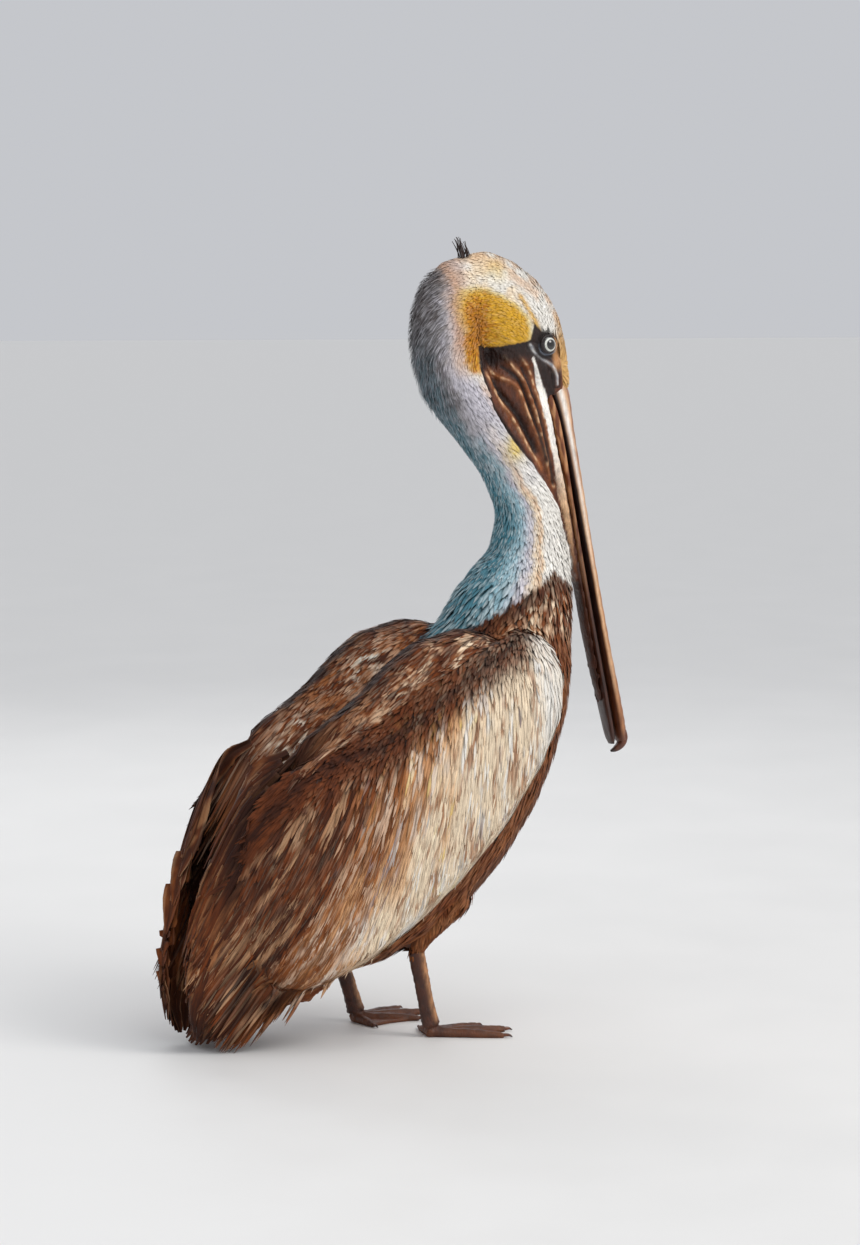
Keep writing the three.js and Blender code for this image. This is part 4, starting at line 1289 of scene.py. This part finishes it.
def long_vanes(name, paths, half_width, outward, shades, stands_for=(), stations=26, columns=9,
               steps=None, lift=None):
    """Closed thin feathers with a shaft, corrugated barbs and ragged edges."""
    all_points, all_faces, all_colours, all_maps, start = [], [], [], [], 0
    t = np.linspace(0, 1, stations)
    across = np.linspace(-1, 1, columns)
    steps = np.gradient(paths[:, 1:3].mean(1), axis=0) if steps is None else steps
    lift = 0.7 * (np.arange(len(paths)) % 2) if lift is None else lift
    for index, path in enumerate(paths):
        line = curve(path, 12)
        lengths = np.concatenate([[0], np.cumsum(np.linalg.norm(np.diff(line, axis=0), axis=1))])
        centre = np.stack([np.interp(t * lengths[-1], lengths, line[:, k]) for k in range(3)], 1)
        tangent = unit(np.gradient(centre, axis=0))
        facing = unit(np.cross(tangent, unit(steps[index])[None]))
        facing = facing * np.sign((facing * outward).sum(1, keepdims=True))
        side = unit(np.cross(tangent, facing))
        half = half_width * (0.4 + 0.6 * ramp(0, 0.3, t)) * np.sqrt(
            np.clip(1.02 - ramp(0.66, 1.0, t) ** 2, 0.02, 1))
        drop = 0.35 * half[:, None] * (across ** 2)[None]
        slant = t[:, None] * lengths[-1] - 0.9 * np.abs(across)[None] * half_width
        barbs = 0.22 * np.sin(5.5 * slant)
        shaft = 0.9 * bell(across, 0.12)[None] * (1 - 0.7 * t[:, None])
        rise = shaft * half_width / BROAD + barbs * np.abs(across)[None] - drop + lift[index]
        ragged = 1 + 0.06 * rng.normal(0, 1, (stations, 2))
        reach = half[:, None] * across[None]
        reach[:, 0] *= ragged[:, 0]
        reach[:, -1] *= ragged[:, 1]
        upper = centre[:, None] + side[:, None] * reach[..., None] + facing[:, None] * rise[..., None]
        upper[..., 2] += np.maximum(0, LOWEST + 0.8 - upper[..., 2].min(1))[:, None]
        thick = (0.35 + 0.35 * half_width / BROAD) * (1 - 0.4 * np.abs(across))
        lower = upper - facing[:, None] * thick[None, :, None]
        ring = np.concatenate([upper, lower[:, ::-1]], axis=1)
        width = ring.shape[1]
        grid = start + np.arange(stations * width).reshape(stations, width)
        turned = np.roll(grid, -1, axis=1)
        sides = np.stack([grid[:-1], turned[:-1], turned[1:], grid[1:]], -1).reshape(-1, 4)
        caps = [end_cap(grid[0])[:, [0, 3, 2, 1]], end_cap(grid[-1])[:, [1, 2, 3, 0]]]
        start += stations * width
        over = np.concatenate([across, across[::-1]])
        shade = shades(ring.reshape(-1, 3), np.repeat(t, width), np.tile(over, stations), index)
        all_points.append(ring.reshape(-1, 3))
        all_faces += [sides, *caps]
        all_colours.append(shade)
        all_maps.append(np.stack([
            np.tile(over, stations) * half_width,
            np.repeat(t * lengths[-1], width) + VANE_STEP * index,
        ], axis=1))
    points = np.concatenate(all_points)
    maps = np.concatenate(all_maps)
    count = len(paths)
    which = np.repeat(np.arange(count), stations * 2 * columns)
    down = maps[:, 1] - VANE_STEP * which
    patch = np.stack([
        (which + 0.5) / count + maps[:, 0] / half_width * 0.42 / count,
        0.02 + 0.96 * down / down.max(),
    ], axis=1)
    new_piece(name, points, np.concatenate(all_faces), np.concatenate(all_colours), FLIGHT,
              stands_for, {"OFBake": patch, "Vane": maps})


def shaded(points, colour):
    """Painted shade in the valleys of the back, and darker toward the top and at the lowest tips."""
    x, _, z = points.T
    dark = back_valley_shade(points) * ramp(95, 150, z) * (x < -60) + 0.7 * ramp(70, 18, z) * (x < -135)
    dark = dark + 0.45 * ramp(100, 190, z)
    return mix(colour, BLACK_BROWN, 0.85 * np.clip(dark, 0, 1))


def flight_shade(points, t, over, index):
    """Warm brown vanes with dark middles and paler outer edges."""
    luck = noise(np.stack([0 * t + index * 3.7, 0 * t, 0 * t], 1), 1, 72)
    grain = streaks(over * 9, t * 200 + 50 * index, 1.6, 40, 71)
    lines = noise(points * [0.9, 1.4, 0.12] / 2.0, 1, 75)
    colour = mix(DARK_BROWN, BROWN, np.clip(0.1 + 0.6 * grain + 0.6 * lines, 0, 1))
    colour = layered(
        colour,
        (WARM_BROWN, 0.6 * ramp(0.5, 0.75, lines) * ramp(0.2, 1.0, np.abs(over))),
        (PEACH, 0.55 * ramp(0.7, 1.0, np.abs(over)) * ramp(0.4, 0.7, grain) * luck),
        (BLACK_BROWN, 0.6 * ramp(0.6, 0.05, np.abs(over)) * ramp(0.3, 0.9, t)),
        (TAN, 0.35 * bell(over, 0.09) * (1 - t)))
    x, _, z = points.T
    hatch = streaks(0.8 * x - 0.6 * z, 0.6 * x + 0.8 * z, 2.6, 26, 77)
    colour = layered(
        colour,
        (BLACK_BROWN, 0.7 * ramp(0.55, 0.3, hatch) * ramp(130, 180, z)),
        (TAN, 0.6 * ramp(0.6, 0.8, hatch) * ramp(130, 180, z)))
    return shaded(points, colour)


def plume_shade(points, t, over, index):
    """Long narrow feathers over the flight feathers, each with its own tone."""
    luck = noise(np.array([[index * 5.3, 0, 0]]), 1, 73)[0]
    tone = mix(DARK_BROWN, BROWN, 2 * luck) if luck < 0.5 else mix(BROWN, TAN, 1.5 * luck - 0.75)
    grain = streaks(over * 5, t * 120 + 40 * index, 1.4, 30, 74)
    lines = noise(points * [0.9, 1.4, 0.12] / 1.6, 1, 76)
    colour = mix(np.broadcast_to(tone, points.shape), DARK_BROWN, 0.75 * ramp(0.6, 0.3, lines))
    colour = layered(
        colour,
        (BLACK_BROWN, 0.5 * ramp(0.5, 0.2, grain)),
        (PEACH, 0.5 * ramp(0.5, 1.0, over) * ramp(0.5, 0.8, grain)),
        (BLACK_BROWN, 0.5 * ramp(0.75, 1.0, t)))
    return shaded(points, colour)


def plumes(name, table, count, flip, outward):
    """Narrow feathers spread over a table of paths, lying a little above it."""
    rows = between(table, count)
    steps = np.gradient(rows[:, 1:3].mean(1), axis=0) * flip
    order = rng.permutation(count)
    rows, steps = rows[order] + rng.normal(0, 0.8, (count, 1, 3)), steps[order]
    start = rng.uniform(0.02, 0.5, count)
    stop = np.minimum(start + rng.uniform(0.4, 0.6, count), rng.uniform(0.9, 1.0, count))
    made = []
    for row, low, high in zip(rows, start, stop):
        line = curve(row, 12)
        at = np.linspace(low, high, 4) * (len(line) - 1)
        made.append([[np.interp(step, np.arange(len(line)), line[:, k]) for k in range(3)]
                     for step in at])
    lift = 1.3 + rng.uniform(0, 1.5, count)
    long_vanes(name, np.array(made) * flip, 2.7, outward, plume_shade, (), 14, 5, steps, lift)


def tail_paths():
    across = np.linspace(-1, 1, 11)
    drop = np.abs(across) ** 2
    root = np.stack([-132 + 0 * across, across * 16, 90 - 5 * drop], 1)
    tip = np.stack([-183 + 12 * drop, across * 38, 3.5 + 10 * drop], 1)
    share = np.array([0, 0.35, 0.7, 1])[None, :, None]
    return root[:, None] * (1 - share) + tip[:, None] * share


for side, turn in zip(SIDES, TURNS):
    flip = np.array([1, turn, 1])
    outward = np.array([-0.3, turn * 1.0, 0.1])
    long_vanes(f"secondaries_{side}", between(SECONDARY_PATHS, 18) * flip, BROAD, outward,
               flight_shade, [f"wing_{side}_secondaries"], 40, 15)
    plumes(f"plumes_{side}", SECONDARY_PATHS, 190, flip, outward)
    long_vanes(f"primaries_{side}", between(PRIMARY_PATHS, 5) * flip, 6.0, outward,
               flight_shade, [f"wing_{side}_primaries"])
long_vanes("tail_feathers", tail_paths(), BROAD, np.array([-0.8, 0, 0.5]), flight_shade, ["tail"])


# ---------------------------------------------------------------- bill, eyes, claws, crest

# Rows of the bill in side view: x, z, half height above and below, half width, squareness.
UPPER = np.array([
    [138, 552, 12, 9, 15, 2.2], [147.2, 528, 11, 9, 17, 2.4], [155.6, 497, 7.5, 7.5, 15.5, 2.4],
    [165.7, 452, 6, 6, 13.5, 2.4], [175.4, 406, 5, 5.4, 12, 2.4], [186.1, 354, 4.8, 5, 11, 2.4],
    [194.7, 313, 4.8, 5, 10.6, 2.4], [203.8, 271, 5, 5, 11.2, 2.4], [209.6, 245, 5, 5, 10, 2.2],
    [212.3, 233, 3.6, 3.6, 7, 2],
])
NAIL = np.array([
    [212.8, 241, 4.2, 4.2, 5.4, 2], [213.9, 235, 4.4, 4.4, 6, 2], [212.5, 229.5, 3.6, 3.6, 4.8, 2],
    [207.8, 225.6, 2.6, 2.6, 3.2, 2], [203, 223.8, 1, 1, 1.2, 2],
])
LOWER = np.array([
    [136.1, 531, 3, 3.6, 15, 2.6], [143.4, 510, 3, 4, 16, 2.6], [150.8, 480, 3, 3, 14.5, 2.6],
    [157.9, 445, 2.6, 2.6, 12.8, 2.6], [165.9, 406, 2.6, 2.6, 11.5, 2.6],
    [176.6, 354, 2.8, 2.8, 10.4, 2.6], [185.2, 313, 3, 3, 9.8, 2.6], [194.2, 271, 3.2, 3, 9.4, 2.6],
    [201.2, 240, 3, 2.6, 8, 2.4], [203.3, 230.5, 1.6, 1.4, 5, 2],
])


def loft(table, steps, around, carve=None):
    """A closed body through a table's sections: points, faces, place and angle of each point."""
    last = len(table) - 1
    places = np.linspace(0, last, steps)
    smooth = curve(table, 24)
    scale = np.linspace(0, last, len(smooth))
    rows = np.stack([np.interp(places, scale, smooth[:, k]) for k in range(6)], axis=1)
    way = unit(np.gradient(rows[:, :2], axis=0))
    back = np.stack([-way[:, 1], way[:, 0]], axis=1)
    angle = (np.arange(around) + 0.5) / around * 2 * math.pi
    c, s = np.cos(angle), np.sin(angle)
    power = 2 / rows[:, 5:6]
    height = np.where(c > 0, rows[:, 2:3], rows[:, 3:4])
    rise = height * np.sign(c) * np.abs(c) ** power
    out = rows[:, 4:5] * np.sign(s) * np.abs(s) ** power
    if carve:
        grow = carve(places[:, None] / last, angle[None])
        rise, out = rise + grow * c, out + grow * s
    points = np.stack([
        rows[:, :1] + back[:, :1] * rise, out, rows[:, 1:2] + back[:, 1:] * rise], axis=-1)
    grid = np.arange(steps * around).reshape(steps, around)
    turned = np.roll(grid, -1, axis=1)
    faces = [np.stack([grid[:-1], turned[:-1], turned[1:], grid[1:]], -1).reshape(-1, 4)]
    faces += [end_cap(grid[0])[:, ::-1], end_cap(grid[-1])]
    share = np.repeat(places / last, around)
    return points.reshape(-1, 3), np.concatenate(faces), share, np.tile(angle, steps)


def off_ridge(angle):
    """The angle from the top of the bill, from 0 to pi on either side."""
    return np.abs((angle + math.pi) % (2 * math.pi) - math.pi)


def upper_carving(share, angle):
    """A rounded ridge down the middle, a groove on each side of it and a thick lower edge."""
    off = off_ridge(angle)
    ridge = 0.9 * bell(off, 0.35)
    groove = -1.1 * bell(off - 0.95, 0.2) * ramp(0, 0.12, share)
    edge = 0.5 * bell(off - 1.75, 0.22)
    flakes = 0.14 * np.sin(share * 160 + 3 * np.sin(off * 4)) * ramp(1.4, 0.5, off)
    return (ridge + groove + edge + flakes) * ramp(1.0, 0.93, share)


def upper_colour(points, share, angle):
    off = off_ridge(angle)
    streak = noise(points * [1, 1, 0.12], 2.2, 81)
    blotch = noise(points * [1, 1, 0.35], 9, 82)
    colour = mix(WARM_BROWN, TAN, np.clip(0.2 + 0.9 * streak, 0, 1))
    colour = layered(
        colour,
        (PEACH, 0.55 * ramp(0.5, 0.75, blotch)),
        (BROWN, 0.6 * bell(off - 0.95, 0.22)),
        (SLATE, 0.5 * bell(off - 0.55, 0.22) * ramp(0.35, 0.1, share)))
    pale = bell(off - 1.66, 0.2)
    colour = layered(
        colour,
        (mix(WHITE, PEACH, ramp(0.2, 0.6, share)), 0.92 * pale * ramp(0.9, 0.6, share)),
        (BLACK_BROWN, ramp(1.85, 2.1, off)),
        (DARK_BROWN, 0.85 * ramp(0.84, 0.98, share + 0.08 * (blotch - 0.5))),
        (BROWN, 0.45 * ramp(0.5, 0.85, share)))
    return mix(colour, AMBER, 0.6 * ramp(0.045, 0.0, share) * ramp(0.9, 0.3, off))


def lower_colour(points, share, angle):
    streak = noise(points * [1, 1, 0.12], 2.0, 83)
    uneven = mix(BROWN, TAN, ramp(0.3, 0.7, streak))
    dark = mix(BLACK_BROWN, DARK_BROWN, streak)
    off = off_ridge(angle)
    colour = mix(uneven, dark, ramp(0.25, 0.75, share + 0.1 * streak))
    return mix(colour, BLACK_BROWN * 0.5, ramp(1.45, 1.15, off))


def nail_colour(points, share, _):
    colour = mix(DARK_BROWN, BROWN, noise(points, 3, 84))
    return mix(colour, BLACK_BROWN, ramp(0.5, 1.0, share))


for name, table, carve, tint, node, steps in (
    ("bill_upper_horn", UPPER, upper_carving, upper_colour, "bill_upper", 260),
    ("bill_lower_horn", LOWER, None, lower_colour, "bill_lower", 200),
    ("bill_hook", NAIL, None, nail_colour, "bill_nail", 40),
):
    points, faces, share, angle = loft(table, steps, 64, carve)
    points = points + wobble(points * [1, 1, 0.3], 2.4, 85)[:, None] * [0.25, 0.25, 0]
    new_piece(name, points, faces, tint(points, share, angle), BILL, [node])


def eyeball(side, turn):
    """A ball with a pale ring round a large pupil, and a slight bulge over them."""
    centre = EYE * [1, turn, 1]
    axis = unit(np.array([0.2, turn * 1.0, 0.04]))
    across = unit(np.cross(axis, [0, 0, 1]))
    high = np.cross(across, axis)
    angles = np.radians(np.concatenate([np.linspace(0.4, 60, 90), np.linspace(62, 179.6, 30)]))
    around_count = 96
    around = np.arange(around_count) / around_count * 2 * math.pi
    radius = EYE_RADIUS - 0.1 + 0.35 * ramp(0.62, 0.2, angles)
    flat = np.cos(around)[:, None] * across + np.sin(around)[:, None] * high
    points = centre + radius[:, None, None] * (
        np.cos(angles)[:, None, None] * axis + np.sin(angles)[:, None, None] * flat[None])
    grid = np.arange(len(angles) * around_count).reshape(-1, around_count)
    turned = np.roll(grid, -1, axis=1)
    faces = [np.stack([grid[:-1], grid[1:], turned[1:], turned[:-1]], -1).reshape(-1, 4)]
    faces += [end_cap(grid[0]), end_cap(grid[-1])[:, ::-1]]
    degrees = np.repeat(np.degrees(angles), around_count)
    spokes = noise(np.stack([np.tile(np.cos(around) * 9, len(angles)),
                             np.tile(np.sin(around) * 9, len(angles)), degrees / 9], 1), 1, 91)
    iris = mix(srgb("b9bdb4"), srgb("efefe6"), spokes)
    colour = mix(iris, srgb("0b0705"), ramp(28.0, 26.5, degrees))
    colour = mix(colour, srgb("1a0d08"), ramp(36.5, 39, degrees))
    new_piece(f"eye_ball_{side}", points.reshape(-1, 3), np.concatenate(faces), colour, EYE_LOOK,
              [f"eye_{side}"])


EYE_LOOK = eye_material()
for side, turn in zip(SIDES, TURNS):
    eyeball(side, turn)

# Toes: name, heading out from straight ahead in degrees, length to the claw, thickness.
TOES = (
    ("outer", 30, 60, 4.6), ("middle", 6, 64, 5.0), ("inner", -20, 53, 4.6), ("hind", -84, 29, 4.0),
)
# How far ahead each foot stands.
FOOT_PLACES = (-17.0, 14.0)
for side, turn, step in zip(SIDES, TURNS, FOOT_PLACES):
    for toe, degrees, length, thick in TOES:
        start = length + 0.2
        rows = np.array([
            [start - 1.2, 2.5, thick / 2 - 1.0, 1.9, thick / 2 - 1.0, 2],
            [start + 2.0, 2.75, thick / 2 - 1.15, 1.8, thick / 2 - 1.35, 2],
            [start + 4.6, 2.3, 1.05, 1.15, 0.95, 2],
            [start + 7.0, 1.0, 0.35, 0.4, 0.35, 2],
        ])
        points, faces, share, angle = loft(rows, 24, 16)
        heading = math.radians(degrees * turn)
        c, s = math.cos(heading), math.sin(heading)
        points = points @ np.array([[c, s, 0], [-s, c, 0], [0, 0, 1]]) + [step, turn * 42.0, 0]
        points[:, 2] = np.maximum(points[:, 2], 0.1)
        base = mix(DARK_BROWN, BROWN, noise(points, 2, 95))
        colour = mix(base, BLACK_BROWN, ramp(0.3, 1.0, share))
        new_piece(f"claw_{side}_{toe}_horn", points, faces, colour, CLAW,
                  [f"claw_{side}_{toe}"])


def crest_wisps():
    """Two wisps of loose dark feathers that stand up from the back of the crown."""
    roots = np.concatenate([
        rng.normal([61, -3, 640], [2.2, 1.6, 0.8], (12, 3)),
        rng.normal([66, 2, 641], [2.0, 1.6, 0.8], (9, 3))])
    tips = np.concatenate([
        rng.normal([54.5, -3, 658], [1.6, 1.5, 1.8], (12, 3)),
        rng.normal([63.5, 2, 655], [1.4, 1.5, 1.8], (9, 3))])
    tips[:, 2] = np.minimum(tips[:, 2], 660)
    t = np.linspace(0, 1, 8)[None, :, None]
    path = roots[:, None] * (1 - t) + tips[:, None] * t
    path = path + np.array([3.0, 0, 0]) * (t * (1 - t))
    facing = np.broadcast_to(unit(np.array([-0.3, 1.0, 0.1])), path.shape)
    profile = 0.5 + 0.5 * np.sin(np.pi * np.clip(t[0, :, 0] + 0.15, 0, 1))
    points, faces, along, over = vanes(
        path, facing, np.full(len(roots), 1.3), profile, np.zeros(8), 0.3, 0.4)
    tint = mix(DARK_GREY, BLACK_BROWN, rng.random((len(roots), 1, 1)) + 0 * along)
    spot = body_unwrap(roots)
    bake = np.stack([spot[:, 0, None, None] + TUFT_PATCH * 0.5 * over,
                     spot[:, 1, None, None] + TUFT_PATCH * (along - 0.5)], axis=-1)
    strand = np.stack([over * 0.7, along * 16], -1)
    new_piece(
        "crest_wisps", points.reshape(-1, 3), faces, tint.reshape(-1, 3), COAT,
        ["crest_1", "crest_2"], {"OFBake": bake.reshape(-1, 2), "Vane": strand.reshape(-1, 2)})


crest_wisps()


# ---------------------------------------------------------------- studio, light and camera


# Disk lamps: name, place, target height, width in metres, power in watts, colour.
LAMPS = (
    ("key", (1.2, -1.6, 1.9), 0.35, 1.2, 22, (1, 0.97, 0.93)),
    ("fill", (-1.8, -1.2, 1.0), 0.3, 1.6, 6, (0.93, 0.96, 1)),
    ("rim", (0.2, 1.8, 1.6), 0.4, 1.4, 9, (1, 1, 1)),
)
FLOOR_REACH = 60.0
SKY_COLOUR = (0.93, 0.95, 1.0, 1)
SKY_STRENGTH = 0.6
OVERHEAD = Vector((0.5, -0.8, 1.5))
OVERHEAD_STRENGTH = 0.75
OVERHEAD_SPREAD = 50
# The camera's turn from the bird's right side (below 0 toward the tail) and its lift, in
# degrees; its distance, the height of its frame and the height it looks at, in metres; how
# far ahead of the feet it looks and its sensor, in millimetres.
CAMERA_TURN = -25
CAMERA_LIFT = 5
CAMERA_DISTANCE = 3.0
FRAME_HEIGHT = 1.0375
TARGET_HEIGHT = 0.3405
TARGET_AHEAD = 32.2
SENSOR = 24


def facing(way):
    """Turns a lamp or a camera so that it looks a way."""
    return way.to_track_quat("-Z", "Y").to_euler()


def studio():
    """A plain floor, a pale sky and the standard view."""
    mesh = bpy.data.meshes.new("floor")
    signs = ((-1, -1), (1, -1), (1, 1), (-1, 1))
    corners = [(x * FLOOR_REACH, y * FLOOR_REACH, 0) for x, y in signs]
    mesh.from_pydata(corners, [], [(0, 1, 2, 3)])
    mesh.materials.append(floor_material())
    placed("floor", mesh)
    world = bpy.data.worlds.new("studio")
    world.use_nodes = True
    sky = world.node_tree.nodes["Background"]
    sky.inputs["Color"].default_value = SKY_COLOUR
    sky.inputs["Strength"].default_value = SKY_STRENGTH
    bpy.context.scene.world = world
    bpy.context.scene.view_settings.view_transform = "Standard"


def lights():
    """Three soft disks, and a broad light overhead that also reaches the far floor."""
    for name, place, target, size, power, colour in LAMPS:
        lamp = bpy.data.lights.new(name, "AREA")
        lamp.shape = "DISK"
        lamp.size = size
        lamp.energy = power
        lamp.color = colour
        piece = placed(name, lamp)
        piece.location = place
        piece.rotation_euler = facing(Vector((0, 0, target)) - Vector(place))
    lamp = bpy.data.lights.new("overhead", "SUN")
    lamp.energy = OVERHEAD_STRENGTH
    lamp.angle = math.radians(OVERHEAD_SPREAD)
    placed("overhead", lamp).rotation_euler = facing(-OVERHEAD)


def camera():
    """The standard view: the right side, from a little behind and above."""
    turn, lift = math.radians(CAMERA_TURN), math.radians(CAMERA_LIFT)
    target = Vector((TARGET_AHEAD * MM + SHIFT[0], 0, TARGET_HEIGHT))
    offset = Vector((math.sin(turn) * math.cos(lift), -math.cos(turn) * math.cos(lift),
                     math.sin(lift)))
    lens = bpy.data.cameras.new("camera")
    lens.sensor_fit = "VERTICAL"
    lens.sensor_height = SENSOR
    lens.lens = SENSOR * CAMERA_DISTANCE / FRAME_HEIGHT
    piece = placed("camera", lens)
    piece.location = target + offset * CAMERA_DISTANCE
    piece.rotation_euler = facing(-offset)
    bpy.context.scene.camera = piece


studio()
lights()
camera()
